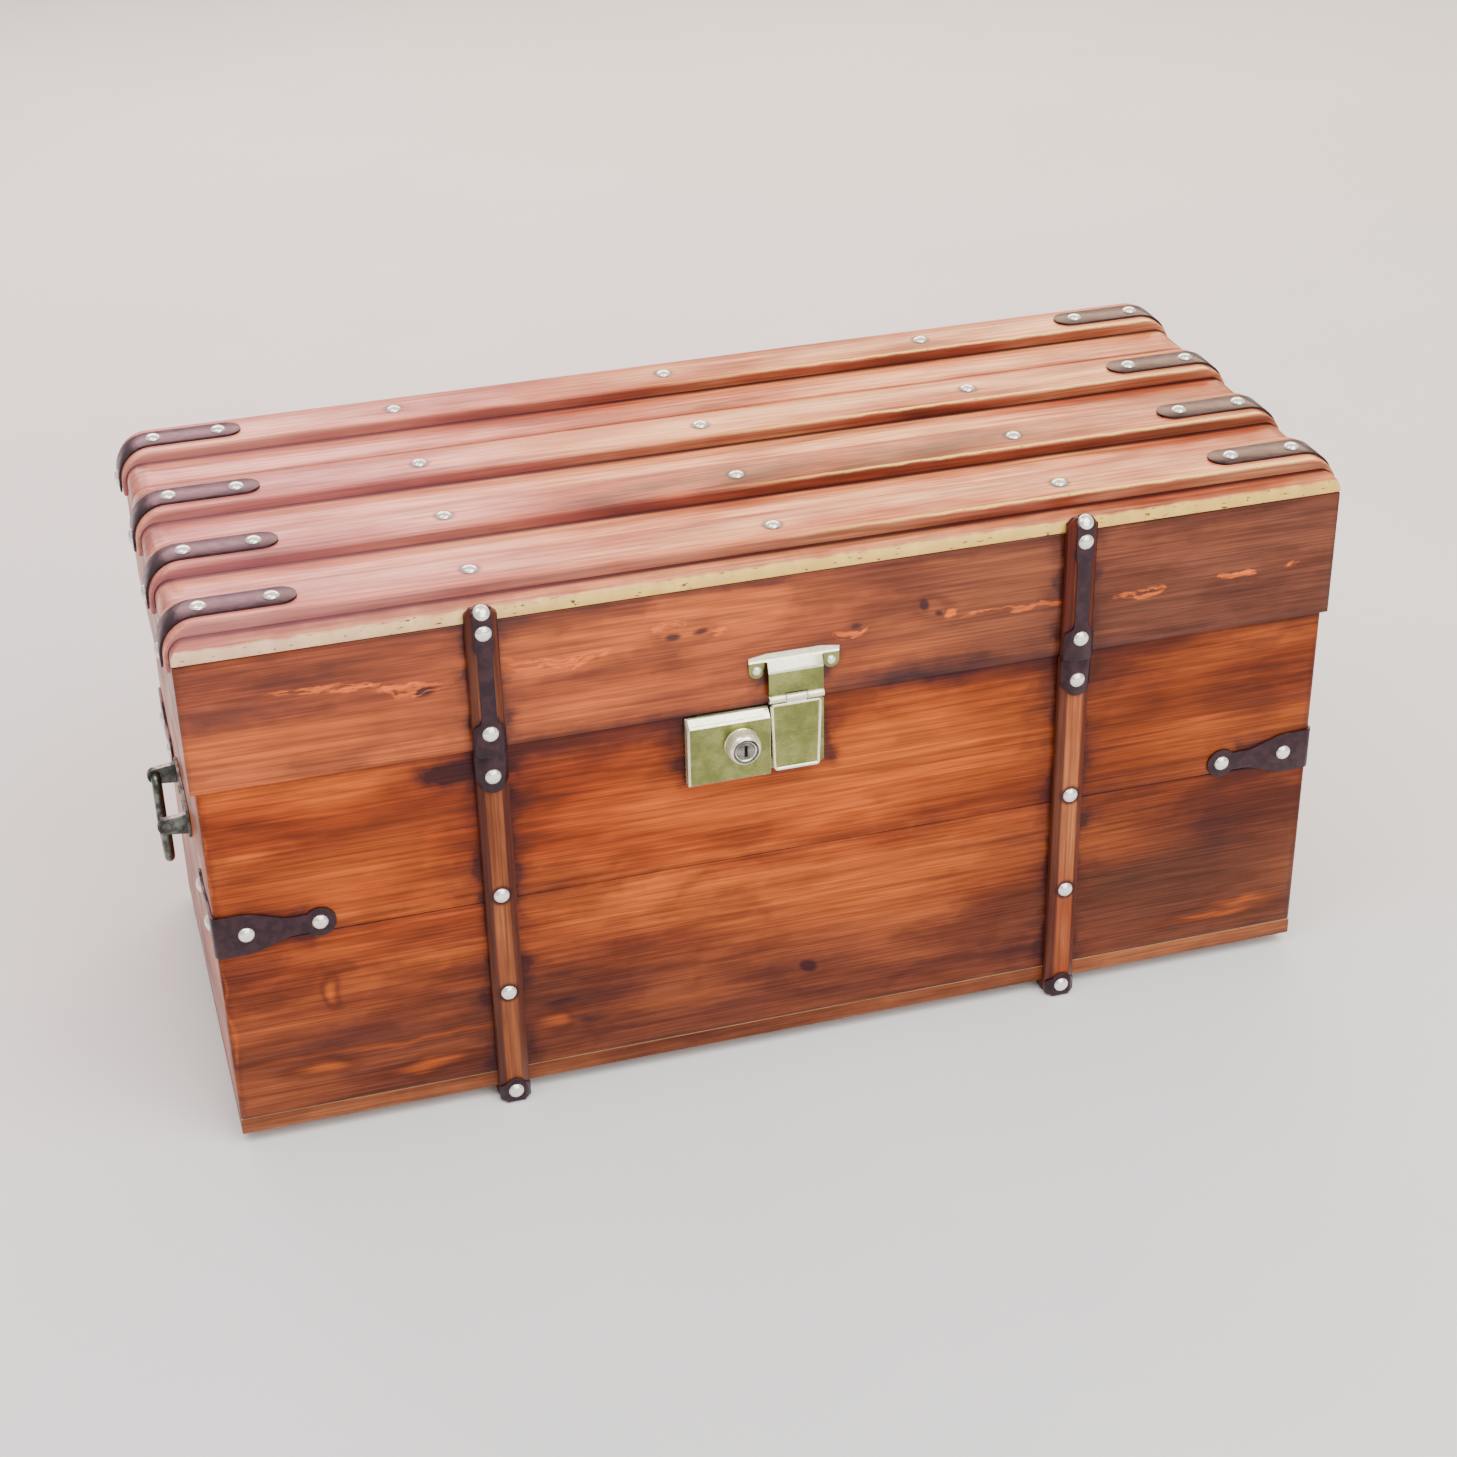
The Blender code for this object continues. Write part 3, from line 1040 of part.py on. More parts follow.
# Drop handles, drawn for the right end from the pivot: X out, Y along the end
def bail_mesh():
    """Bail: a rod bent to a U, its ends turned out into the ears."""
    half = HANDLE_SPAN / 2
    bend = HANDLE_BEND_RADIUS
    small = HANDLE_ROD_RADIUS * HANDLE_SHOULDER_SHARE
    right = ([(half + HANDLE_PIVOT_LENGTH, 0)] + arc((half + small, -small), small, 90, 180, 4)
             + arc((half - bend, bend - HANDLE_DROP), bend, 0, -90, 5))
    path = right + [(-y, z) for y, z in reversed(right)]
    curve = bpy.data.curves.new("bail", "CURVE")
    curve.dimensions = "3D"
    curve.bevel_depth = HANDLE_ROD_RADIUS
    curve.bevel_resolution = 2
    curve.use_fill_caps = True
    spline = curve.splines.new("POLY")
    spline.points.add(len(path) - 1)
    for point, (y, z) in zip(spline.points, path):
        point.co = (0, y, z, 1)
    wire = bpy.data.objects.new("bail", curve)
    CUTTERS.objects.link(wire)
    graph = bpy.context.evaluated_depsgraph_get()
    mesh = bpy.data.meshes.new_from_object(wire.evaluated_get(graph))
    bpy.data.objects.remove(wire, do_unlink=True)
    bm = bmesh.new()
    bm.from_mesh(mesh)
    bpy.data.meshes.remove(mesh)
    bmesh.ops.remove_doubles(bm, verts=bm.verts, dist=FIT / 10)
    bmesh.ops.recalc_face_normals(bm, faces=bm.faces)
    return mesh_of(bm, "bail", smooth=True)


def bracket_mesh():
    """Cast bracket: a plate with rounded ends and two ears bored for the bail."""
    half = BRACKET_LENGTH / 2
    rise = BRACKET_HEIGHT / 2
    bm = sheet("bracket", rounded_rectangle(-half, half, -rise, rise, BRACKET_CORNER), BRACKET_THICKNESS)
    wood = -HANDLE_AXIS_OUT
    formed(bm, lambda x, y, z: Vector((wood + FIT + z, x, y)))
    foot = EAR_FOOT_WIDTH / 2
    base = BRACKET_THICKNESS / 2 - HANDLE_AXIS_OUT
    ear_outline = arc((0, 0), EAR_RADIUS, -90, 90, 8) + [(base, foot), (base, -foot)]
    ear_y = HANDLE_SPAN / 2 + HANDLE_PIVOT_LENGTH - EAR_THICKNESS / 2
    joined = []
    cut = []
    for side in (-1, 1):
        ear = sheet("ear", ear_outline, EAR_THICKNESS)
        formed(ear, lambda x, y, z, at=side * ear_y: Vector((x, at + z - EAR_THICKNESS / 2, y)))
        joined.append(mesh_of(ear, "ear"))
        middle = (0, side * ear_y, 0)
        cut.append(rod("ear bore", HANDLE_ROD_RADIUS + FIT, 2 * EAR_THICKNESS, (0, 1, 0), middle,
                       steps=KNUCKLE_STEPS))
    return fused_mesh("bracket", mesh_of(bm, "bracket"), joined=joined, cut=cut)


def build_handles(trunk):
    bail = bail_mesh()
    bracket = bracket_mesh()
    for name, side in (("left", -1), ("right", 1)):
        place = (side * (BASE_HALF_LENGTH + HANDLE_AXIS_OUT), 0, BASE_UNDERSIDE + HANDLE_AXIS_HEIGHT)
        turn = (0, 0, 0 if side > 0 else math.pi)
        add_part(f"handle_bracket_{name}", bracket, "handle iron", trunk, location=place, turn=turn)
        add_part(f"handle_bail_{name}", bail, "handle iron", trunk, location=place, turn=turn)


clear_scene()
PARTS = new_collection("travel_trunk")
CUTTERS = new_collection("cutters")


def build():
    trunk = add_pivot("trunk_frame", None, (0, FOOTPRINT_SHIFT, 0))
    lid = add_pivot("lid_hinge_axis", trunk, (0, BASE_HALF_DEPTH + HINGE_AXIS_OUT, SEAM + SEAM_GAP / 2))
    build_base(trunk)
    build_lid(lid)
    build_slats(lid)
    build_battens(trunk, lid)
    build_bands(trunk)
    build_lock(trunk)
    build_hasp(lid)
    build_hinges(trunk, lid)
    build_handles(trunk)


build()
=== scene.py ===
"""Travel trunk: varnished pine boards, bent slats, nailed irons, brass hasp lock and drop handles."""

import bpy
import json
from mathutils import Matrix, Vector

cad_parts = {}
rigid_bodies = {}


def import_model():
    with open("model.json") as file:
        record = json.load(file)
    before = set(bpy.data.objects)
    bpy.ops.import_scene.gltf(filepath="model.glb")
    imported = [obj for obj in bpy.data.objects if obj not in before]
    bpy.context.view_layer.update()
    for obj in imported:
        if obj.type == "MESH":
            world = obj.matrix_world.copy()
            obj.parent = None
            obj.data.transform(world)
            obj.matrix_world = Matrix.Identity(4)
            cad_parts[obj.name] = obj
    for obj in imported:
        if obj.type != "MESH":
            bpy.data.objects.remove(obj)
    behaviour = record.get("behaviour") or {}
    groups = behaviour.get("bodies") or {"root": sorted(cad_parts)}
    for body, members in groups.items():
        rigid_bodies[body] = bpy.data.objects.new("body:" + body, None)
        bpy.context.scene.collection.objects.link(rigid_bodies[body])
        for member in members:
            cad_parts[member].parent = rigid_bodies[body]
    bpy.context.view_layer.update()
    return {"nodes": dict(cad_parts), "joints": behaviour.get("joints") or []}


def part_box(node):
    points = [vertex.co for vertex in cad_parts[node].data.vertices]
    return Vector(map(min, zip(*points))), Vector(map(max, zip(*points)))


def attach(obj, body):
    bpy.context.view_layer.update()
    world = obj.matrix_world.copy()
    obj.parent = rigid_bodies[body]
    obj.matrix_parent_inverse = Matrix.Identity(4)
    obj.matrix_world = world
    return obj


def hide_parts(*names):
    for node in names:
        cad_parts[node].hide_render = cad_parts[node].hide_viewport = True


bl_info = {
    "name": "Travel Trunk",
    "version": (1, 0, 0),
    "blender": (4, 5, 0),
    "location": "3D View > Sidebar > Trunk",
    "description": "Builds a slatted pine travel trunk with its irons, lock and handles",
    "category": "Add Mesh",
}

import json
import math

import bmesh
import bpy
from bpy.props import FloatProperty, FloatVectorProperty, IntProperty, PointerProperty
from mathutils import Matrix, Vector

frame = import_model()

# Faces of the carcass that other pieces lie on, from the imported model
BASE_LEFT, BASE_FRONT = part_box("base_back_board")[0].x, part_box("base_front_upper_board")[0].y
BASE_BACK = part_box("base_back_board")[1].y
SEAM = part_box("base_front_upper_board")[1].z
LID_FRONT, LID_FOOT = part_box("lid_front_board")[0].yz
LID_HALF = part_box("lid_front_board")[1].x
LID_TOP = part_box("lid_top_board_front")[1].z
FIT = 0.0003
FRONT, UP = Vector((0, -1, 0)), Vector((0, 0, 1))
CORNER_STEPS, SHARP, ROD_RIM = 5, math.radians(30), math.radians(60)


def length(label, words, value):
    return FloatProperty(name=label, description=words, default=value, unit="LENGTH")


def colour(label, words, value):
    return FloatVectorProperty(name=label, description=words, subtype="COLOR", size=3, min=0, max=1,
                               default=value)


class TrunkSizes(bpy.types.PropertyGroup):
    """Sizes of the trunk's finishing pieces."""
    edge_softness: length("Edge softness", "Rounding worn into the boards' edges", 0.001)
    nail_radius: length("Nail radius", "Radius of a domed nail head", 0.0058)
    nail_rise: length("Nail rise", "Height of a domed nail head", 0.0032)
    nail_steps: IntProperty(name="Nail steps", description="Faces round a nail head", default=20)
    iron_thickness: length("Iron thickness", "Sheet that the batten irons are cut from", 0.0014)
    strap_thickness: length("Strap thickness", "Sheet of the slat irons and bands", 0.0016)
    strap_width: length("Strap width", "Width of an iron over a slat's end", 0.024)
    rim: length("Iron rim", "Rounding of the irons' cut edges", 0.0004)
    bend_steps: IntProperty(name="Bend steps", description="Facets round a bend in wood or iron", default=14)


class TrunkColours(bpy.types.PropertyGroup):
    """Colours of the trunk's finishes, linear."""
    pine_deep: colour("Deep pine", "Stained latewood, knots and shaded grain", (0.050, 0.008, 0.004))
    pine_mid: colour("Middle pine", "Most of the stained front", (0.30, 0.046, 0.007))
    pine_bright: colour("Bright pine", "Where the stain is thin", (0.62, 0.120, 0.012))
    # The lid's top and slats are painted lighter than the front, as painted light from behind
    top_mid: colour("Lid pine", "Most of the lid's top", (0.56, 0.110, 0.040))
    top_bright: colour("Pale lid pine", "Bleached grain on the lid's top", (0.98, 0.340, 0.130))
    # Painted highlight along the rounded front edge of the lid's top and the slats' front edges
    rubbed: colour("Rubbed edge", "Worn pale edge along the lid's front", (1.0, 0.66, 0.15))
    # Painted reflection: pink tint on the left part of the lid's top and slats
    blush: colour("Pink sheen", "Tone of the lid's left part", (0.66, 0.27, 0.32))
    dull: colour("Dull pine", "Greyed stain near the foot and on the lid's front", (0.15, 0.062, 0.038))
    fleck: colour("Curly grain", "Orange flecks round the knots", (0.86, 0.16, 0.018))
    batten_mid: colour("Batten pine", "Duller pine of the battens and the foot", (0.22, 0.060, 0.020))
    batten_bright: colour("Pale batten pine", "Rubbed pine of the battens and the foot", (0.42, 0.130, 0.044))
    pine_raw: colour("Bare pine", "Unstained wood inside", (0.55, 0.32, 0.15))
    # Also used for painted shade: along the seam, round irons, the lock and nails, beside the slats and on
    # shaded sides
    stain: colour("Stain", "Purplish dirt round irons and along seams", (0.035, 0.007, 0.009))
    iron: colour("Black iron", "Straps, caps, bands and hinges", (0.010, 0.004, 0.006))
    iron_worn: colour("Rubbed iron", "Reddish patches on the irons", (0.026, 0.008, 0.010))
    nickel: colour("Nail heads", "Domed nails", (0.96, 0.94, 0.87))
    nickel_worn: colour("Dull nail heads", "Dull patches on the nails", (0.50, 0.45, 0.33))
    brass: colour("Lock brass", "Faces of the lock and the hasp", (0.29, 0.30, 0.105))
    # Paler brass that paints highlights on the lock's edges, the knuckles, the barrel's shoulder, the hasp's
    # border and the hinge plate's slope
    brass_bright: colour("Rubbed brass", "Edges, knuckles and the hinge plate", (0.96, 0.93, 0.70))
    tarnish: colour("Brass tarnish", "Worn and dulled brass", (0.15, 0.17, 0.045))
    steel: colour("Handle iron", "Drop handles", (0.16, 0.18, 0.16))
    steel_worn: colour("Worn handle iron", "Dark patches on the handles", (0.035, 0.035, 0.030))
    screw: colour("Screw heads", "Slotted screws and the lock's bolt", (0.30, 0.29, 0.27))
    screw_worn: colour("Rusted screws", "Dark patches on the screws", (0.10, 0.08, 0.06))
    floor: colour("Floor", "Studio floor", (0.82, 0.82, 0.82))


# Small shapes that the pieces share
def sizes():
    return bpy.context.scene.trunk_sizes


def centre_of(node):
    low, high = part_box(node)
    return (low + high) / 2


def spaced(start, end, steps):
    return [start + (end - start) * step / steps for step in range(steps + 1)]


def arc(centre, radius, start, end, steps):
    """Points along an arc, angles in degrees."""
    turns = [math.radians(angle) for angle in spaced(start, end, steps)]
    return [(centre[0] + radius * math.cos(turn), centre[1] + radius * math.sin(turn)) for turn in turns]


def rounded_rectangle(left, right, low, high, radius):
    return (arc((right - radius, high - radius), radius, 90, 0, CORNER_STEPS)
            + arc((right - radius, low + radius), radius, 0, -90, CORNER_STEPS)
            + arc((left + radius, low + radius), radius, -90, -180, CORNER_STEPS)
            + arc((left + radius, high - radius), radius, 180, 90, CORNER_STEPS))


def mirrored(right):
    """A closed outline from its right half, which starts and ends on the middle line or beside it."""
    return right + [(-x, y) for x, y in reversed(right)]


def soften(bm, edges, width, segments=2):
    bmesh.ops.bevel(bm, geom=list(edges), offset=width, segments=segments, profile=0.5,
                    affect="EDGES", material=-1, clamp_overlap=True)


def sharp_edges(edges, least=SHARP):
    return {edge for edge in edges if edge.is_manifold and edge.calc_face_angle() > least}


def block(bm, low, high):
    """Add a box between two opposite corners."""
    low, high = Vector(low), Vector(high)
    place = Matrix.Translation((low + high) / 2) @ Matrix.Diagonal((*(high - low), 1))
    bmesh.ops.create_cube(bm, size=1, matrix=place)


def stand(place, direction):
    """A matrix that stands a form on a place, its Z axis along a direction."""
    return Matrix.Translation(place) @ UP.rotation_difference(direction).to_matrix().to_4x4()


def dress(faces, pick):
    """Give each face the number of its finish."""
    for face in faces:
        face.material_index = int(pick(face))


def rod(bm, radius, start, end, steps=32, soft=0.0):
    """Add a cylinder between two points, with its ends softened."""
    start, end = Vector(start), Vector(end)
    made = bmesh.ops.create_cone(bm, cap_ends=True, segments=steps, radius1=radius, radius2=radius,
                                 depth=(end - start).length, matrix=stand((start + end) / 2, end - start))
    if soft:
        around = [edge for vert in made["verts"] for edge in vert.link_edges]
        soften(bm, sharp_edges(around, ROD_RIM), soft)


def only(parts, kind):
    return [part for part in parts if isinstance(part, kind)]


def pushed(bm, faces, step):
    """Extrude faces by a step; gives the moved ones."""
    made = bmesh.ops.extrude_face_region(bm, geom=faces)["geom"]
    bmesh.ops.translate(bm, verts=only(made, bmesh.types.BMVert), vec=step)
    return only(made, bmesh.types.BMFace)


def sunk(bm, faces, step):
    """Push faces into a body and leave the way open behind them."""
    pushed(bm, faces, step)
    bmesh.ops.delete(bm, geom=[face for face in faces if face.is_valid], context="FACES")


def settle(bm, place, degrees=0, axis="Z"):
    """Turn a finished form about an axis of the model and carry it to its place."""
    turn = Matrix.Rotation(math.radians(degrees), 4, axis)
    bmesh.ops.transform(bm, verts=bm.verts, matrix=Matrix.Translation(place) @ turn)


def edges_where(bm, test):
    return [edge for edge in bm.edges if all(test(vert.co) for vert in edge.verts)]


def extruded(outline, thickness):
    """A flat outline in X and Y made solid from Z = 0 to its thickness."""
    bm = bmesh.new()
    pushed(bm, [bm.faces.new([bm.verts.new((x, y, 0)) for x, y in outline])], (0, 0, thickness))
    bmesh.ops.recalc_face_normals(bm, faces=bm.faces)
    return bm


def plate(outline, thickness, soft):
    """Sheet metal: an outline made solid, with the rim of its upper face filed round."""
    bm = extruded(outline, thickness)
    soften(bm, edges_where(bm, lambda spot: spot.z > thickness / 2), soft)
    return bm


def crease(bm, lines, axis):
    """Cut new edges across a sheet where it will bend; axis 0 takes lines of equal X, axis 1 of equal Y."""
    normal = Vector((1, 0, 0)) if axis == 0 else Vector((0, 1, 0))
    for line in lines:
        bmesh.ops.bisect_plane(bm, geom=bm.verts[:] + bm.edges[:] + bm.faces[:], dist=1e-6,
                               plane_co=normal * line, plane_no=normal)


def formed(bm, place):
    """Carry every corner of a flat sheet to its place on the work."""
    for vert in bm.verts:
        vert.co = place(*vert.co)


NAIL_LEAN, NAIL_SUNK = 0.05, 0.0005


def lean(number):
    """A small, steady unevenness for the numbered nail, between -1 and 1."""
    return math.sin(number * 12.9898) * math.cos(number * 4.1414)


def nail(bm, place, out, radius=None, rise=None):
    """Add a domed nail head that is driven in a little askew."""
    steps = sizes().nail_steps
    radius, rise = radius or sizes().nail_radius, rise or sizes().nail_rise
    place, out = Vector(place), Vector(out).normalized()
    number = place.x * 311 + place.y * 173 + place.z * 97
    aside = out.orthogonal()
    tipped = (out + (aside * lean(number) + out.cross(aside) * lean(number + 3)) * NAIL_LEAN).normalized()
    made = bmesh.ops.create_uvsphere(bm, u_segments=steps, v_segments=steps // 2, radius=1,
                                     matrix=Matrix.Diagonal((radius, radius, rise, 1)))["verts"]
    for vert in made:
        vert.co.z = max(vert.co.z, -NAIL_SUNK)
    dress({face for vert in made for face in vert.link_faces}, lambda face: 1)
    bmesh.ops.transform(bm, verts=made, matrix=stand(place - out * rise * 0.1, tipped))


def nail_on(bm, carry, s, t, thickness, **head):
    """Add a nail on a formed sheet, at a place given on the flat sheet."""
    top = carry(s, t, thickness)
    nail(bm, top, carry(s, t, 2 * thickness) - top, **head)


def linked(name, data):
    """A new object in the scene."""
    made = bpy.data.objects.new(name, data)
    bpy.context.scene.collection.objects.link(made)
    return made


def add_mesh(name, bm, finishes):
    mesh = bpy.data.meshes.new(name)
    bm.to_mesh(mesh)
    bm.free()
    for label in finishes:
        mesh.materials.append(finish(label))
    return linked(name, mesh)


def add_piece(node, bm, finishes, slot, smooth=35):
    """Make the piece that stands for a CAD node and moves with its body."""
    bmesh.ops.recalc_face_normals(bm, faces=bm.faces)
    piece = add_mesh(f"{node}_detail", bm, finishes)
    piece.data.shade_smooth()
    piece.data.set_sharp_from_angle(angle=math.radians(smooth))
    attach(piece, frame["nodes"][node].parent.name.split(":", 1)[1])
    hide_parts(node)
    return piece


def add_soft_copy(node, finishes, slot, width, extra):
    """A merged copy of a CAD node with filed edges, and anything else that is fixed to it."""
    bm = bmesh.new()
    bm.from_mesh(frame["nodes"][node].data)
    bmesh.ops.remove_doubles(bm, verts=bm.verts, dist=1e-5)
    bmesh.ops.dissolve_limit(bm, angle_limit=math.radians(1), verts=bm.verts, edges=bm.edges)
    dress(bm.faces, lambda face: 0)
    extra(bm)
    bevel = add_piece(node, bm, finishes, slot).modifiers.new("filed edges", "BEVEL")
    bevel.width, bevel.segments = width, 2
    bevel.limit_method, bevel.angle_limit = "ANGLE", math.radians(40)


def set_grain(bm, along, heart, wide=()):
    """Store each corner's place in the grain, its offset from the tree's heart, and how near the rim it is."""
    place = bm.verts.layers.float_vector.new("grain")
    centre = bm.verts.layers.float_vector.new("heart")
    rim = bm.verts.layers.float.new("rim")
    inner = {vert for face in wide for vert in face.verts}
    for vert in bm.verts:
        vert[place], vert[centre], vert[rim] = along(vert.co), heart, float(vert not in inner)


# Boards: node, grain axes, inward direction, rounded edges, timber, offset from the heart of the tree
LONG, ENDWAYS, FLAT = "xzy", "yzx", "xyz"
TOP_FRONT, TOP_BACK, TOP_LEFT, TOP_RIGHT = (0, -1, 1), (0, 1, 1), (-1, 0, 1), (1, 0, 1)
FRONT_LEFT, FRONT_RIGHT, REAR_LEFT, REAR_RIGHT = (-1, -1, 0), (1, -1, 0), (-1, 1, 0), (1, 1, 0)
BOARDS = (
    ("base_bottom_board", FLAT, (0, 0, 1), (), "foot pine", (4.0, 0.05, 0.09)),
    ("base_front_lower_board", LONG, (0, 1, 0), (FRONT_LEFT, FRONT_RIGHT), "front pine", (0.0, -0.06, 0.21)),
    ("base_front_upper_board", LONG, (0, 1, 0), (FRONT_LEFT, FRONT_RIGHT), "front pine", (0.3, 0.30, 0.23)),
    ("base_back_board", LONG, (0, -1, 0), (REAR_LEFT, REAR_RIGHT), "back pine", (6.0, -0.15, -0.13)),
    ("base_left_end", ENDWAYS, (1, 0, 0), (), "back pine", (8.0, -0.10, 0.45)),
    ("base_right_end", ENDWAYS, (-1, 0, 0), (), "back pine", (10.0, -0.20, -0.36)),
    ("lid_front_board", LONG, (0, 1, 0), (), "front pine", (0.6, -0.35, 0.205)),
    ("lid_back_board", LONG, (0, -1, 0), (), "back pine", (12.0, -0.30, -0.14)),
    ("lid_left_end", ENDWAYS, (1, 0, 0), (), "back pine", (14.0, -0.33, 0.44)),
    ("lid_right_end", ENDWAYS, (-1, 0, 0), (), "back pine", (16.0, -0.36, -0.38)),
    ("lid_top_board_front", FLAT, (0, 0, -1), (TOP_FRONT, TOP_LEFT, TOP_RIGHT), "top pine", (1.0, 0.10, -0.36)),
    ("lid_top_board_middle", FLAT, (0, 0, -1), (TOP_LEFT, TOP_RIGHT), "top pine", (3.0, -0.02, -0.38)),
    ("lid_top_board_rear", FLAT, (0, 0, -1), (TOP_BACK, TOP_LEFT, TOP_RIGHT), "top pine", (5.0, -0.20, -0.37)),
)
LID_EDGE_RADIUS, CORNER_RADIUS, RIM_WIDTH, WIDE_FACE = 0.012, 0.003, 0.009, 0.01


def board(node, axes, inward, rounded, timber, heart):
    """One plank: a planed box with worn edges, rounded corners and its bare side turned inwards."""
    low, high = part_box(node)
    middle, half = (low + high) / 2, (high - low) / 2
    bm = bmesh.new()
    block(bm, low, high)

    def side(edge):
        spot = (edge.verts[0].co + edge.verts[1].co) / 2 - middle
        return tuple(round(spot[axis] / half[axis]) for axis in range(3))

    on_top = timber == "top pine"
    chosen = [edge for edge in bm.edges if side(edge) in rounded]
    if chosen:
        soften(bm, chosen, LID_EDGE_RADIUS if on_top else CORNER_RADIUS, 5)
    soften(bm, sharp_edges(bm.edges), sizes().edge_softness)
    wide = [face for face in bm.faces if face.calc_area() > WIDE_FACE]
    bmesh.ops.inset_individual(bm, faces=wide, thickness=RIM_WIDTH, use_even_offset=True)
    dress(bm.faces, lambda face: face.normal.dot(Vector(inward)) > 0.5)
    order = ["xyz".index(letter) for letter in axes]
    set_grain(bm, lambda spot: Vector(spot[axis] for axis in order), heart, wide)
    add_piece(node, bm, (timber, "bare pine"), "top_pine" if on_top else "front_pine")


# Slats, in the frame of the lid's top surface: X along, Y across from the slat's middle
SLAT_WIDTH, SLAT_THICKNESS = 0.044, 0.008
SLAT_BEND_RADIUS, SLAT_END_THICKNESS, SLAT_END_DROP = 0.024, 0.003, 0.008
SLAT_BEND = Vector((LID_HALF + FIT + SLAT_END_THICKNESS - SLAT_BEND_RADIUS,
                    FIT + SLAT_THICKNESS - SLAT_BEND_RADIUS))
SLAT_SOFT, SLAT_CREASED, SLAT_CREASES, SLAT_NAIL_STRAY = 0.002, 0.371, 14, 0.0012
SLAT_NUMBERS = range(1, 5)
SLAT_NAILS = (-0.212, 0, 0.212)
SLAT_HEARTS = ((0.4, 0.20, 0.10), (2.4, -0.12, 0.06), (4.4, 0.02, 0.07), (6.4, 0.28, 0.05))


def slat_outline(steps):
    """Side view of a slat bent down over the lid's ends."""
    edge = LID_HALF - LID_EDGE_RADIUS
    low = SLAT_BEND.y - SLAT_END_DROP
    right = (arc(SLAT_BEND, SLAT_BEND_RADIUS, 90, 0, steps)
             + [(SLAT_BEND.x + SLAT_BEND_RADIUS, low), (edge + LID_EDGE_RADIUS + FIT, low)]
             + arc((edge, -LID_EDGE_RADIUS), LID_EDGE_RADIUS + FIT, 0, 90, steps))
    return mirrored(right)


def slat(number):
    """A bentwood slat with three nails, its edges rounded along the top and down the bends."""
    node = f"lid_slat_{number}"
    bm = extruded(slat_outline(sizes().bend_steps), SLAT_WIDTH)

    def on_top(spot):
        past, over = max(abs(spot.x) - LID_HALF + LID_EDGE_RADIUS, 0), max(spot.y + LID_EDGE_RADIUS, 0)
        return math.hypot(past, over) > LID_EDGE_RADIUS + FIT + SLAT_END_THICKNESS / 2

    soften(bm, [edge for edge in edges_where(bm, on_top)
                if abs(edge.verts[0].co.z - edge.verts[1].co.z) < SLAT_WIDTH / 2], SLAT_SOFT, 3)
    crease(bm, spaced(-SLAT_CREASED, SLAT_CREASED, SLAT_CREASES), axis=0)
    formed(bm, lambda x, y, z: Vector((x, z - SLAT_WIDTH / 2, y)))

    def along(spot):
        turn = math.atan2(max(abs(spot.x) - SLAT_BEND.x, 0), max(spot.z - SLAT_BEND.y, 1e-6))
        reach = min(abs(spot.x), SLAT_BEND.x) + turn * SLAT_BEND_RADIUS - min(spot.z - SLAT_BEND.y, 0)
        return Vector((math.copysign(reach, spot.x), spot.y, min(spot.z, SLAT_THICKNESS)))

    set_grain(bm, along, SLAT_HEARTS[number - 1])
    for x in SLAT_NAILS:
        nail(bm, (x, SLAT_NAIL_STRAY * lean(x * 40 + number), FIT + SLAT_THICKNESS), UP)
    settle(bm, (0, centre_of(node).y, LID_TOP))
    add_piece(node, bm, ("slat pine", "nickel nail"), "top_pine")


# Irons over the slats' ends, with three nails each
IRON = ("black iron", "nickel nail"), "black_iron"
STRAP_REACH, STRAP_DROP = 0.068, 0.011
STRAP_QUARTER = (SLAT_BEND_RADIUS + FIT) * math.pi / 2
STRAP_NAILS = (0.017 - STRAP_REACH, -0.003, STRAP_QUARTER + 0.002)


def strap_carry(s, t, n):
    """From the flat strap to the right end of a slat; s is 0 where the bend starts."""
    radius = SLAT_BEND_RADIUS + FIT
    angle = min(max(s / radius, 0), math.pi / 2)
    past, over = min(s, 0), max(s - STRAP_QUARTER, 0)
    return Vector((SLAT_BEND.x + past + (radius + n) * math.sin(angle), t,
                   SLAT_BEND.y - over + (radius + n) * math.cos(angle)))


def strap(node, degrees):
    """Iron over a slat's end: a round tip on top, bent down the lid's end; turned about for the left end."""
    half, small, far = sizes().strap_width / 2, sizes().strap_width / 4, STRAP_QUARTER + STRAP_DROP
    outline = (arc((half - STRAP_REACH, 0), half, 90, 270, 16) + arc((far - small, -small), small, -90, 0, 5)
               + arc((far - small, small), small, 0, 90, 5))
    bm = plate(outline, sizes().strap_thickness, sizes().rim)
    crease(bm, spaced(0, STRAP_QUARTER, sizes().bend_steps), axis=0)
    formed(bm, strap_carry)
    for s in STRAP_NAILS:
        nail_on(bm, strap_carry, s, 0, sizes().strap_thickness)
    settle(bm, (0, centre_of(node).y, LID_TOP), degrees)
    add_piece(node, bm, *IRON)


# Battens, drawn from their feet: X across, Y in towards the wood
BATTEN_WIDTH, BATTEN_THICKNESS, BATTEN_CHAMFER, BATTEN_TOP_RADIUS = 0.022, 0.010, 0.0045, 0.005
BATTEN_FLAT = BATTEN_WIDTH - 2 * BATTEN_CHAMFER
BATTEN_SOFT, RUNNER_SOFT, BATTEN_NAIL_STRAY = 0.0007, 0.0012, 0.0008
RUNNER_HEART = (7.7, 0.05, 0.04)
BASE_BATTEN_NAILS = (0.0973, 0.1803)
BACK_LID_BATTEN_NAILS = (0.3193, 0.3793)


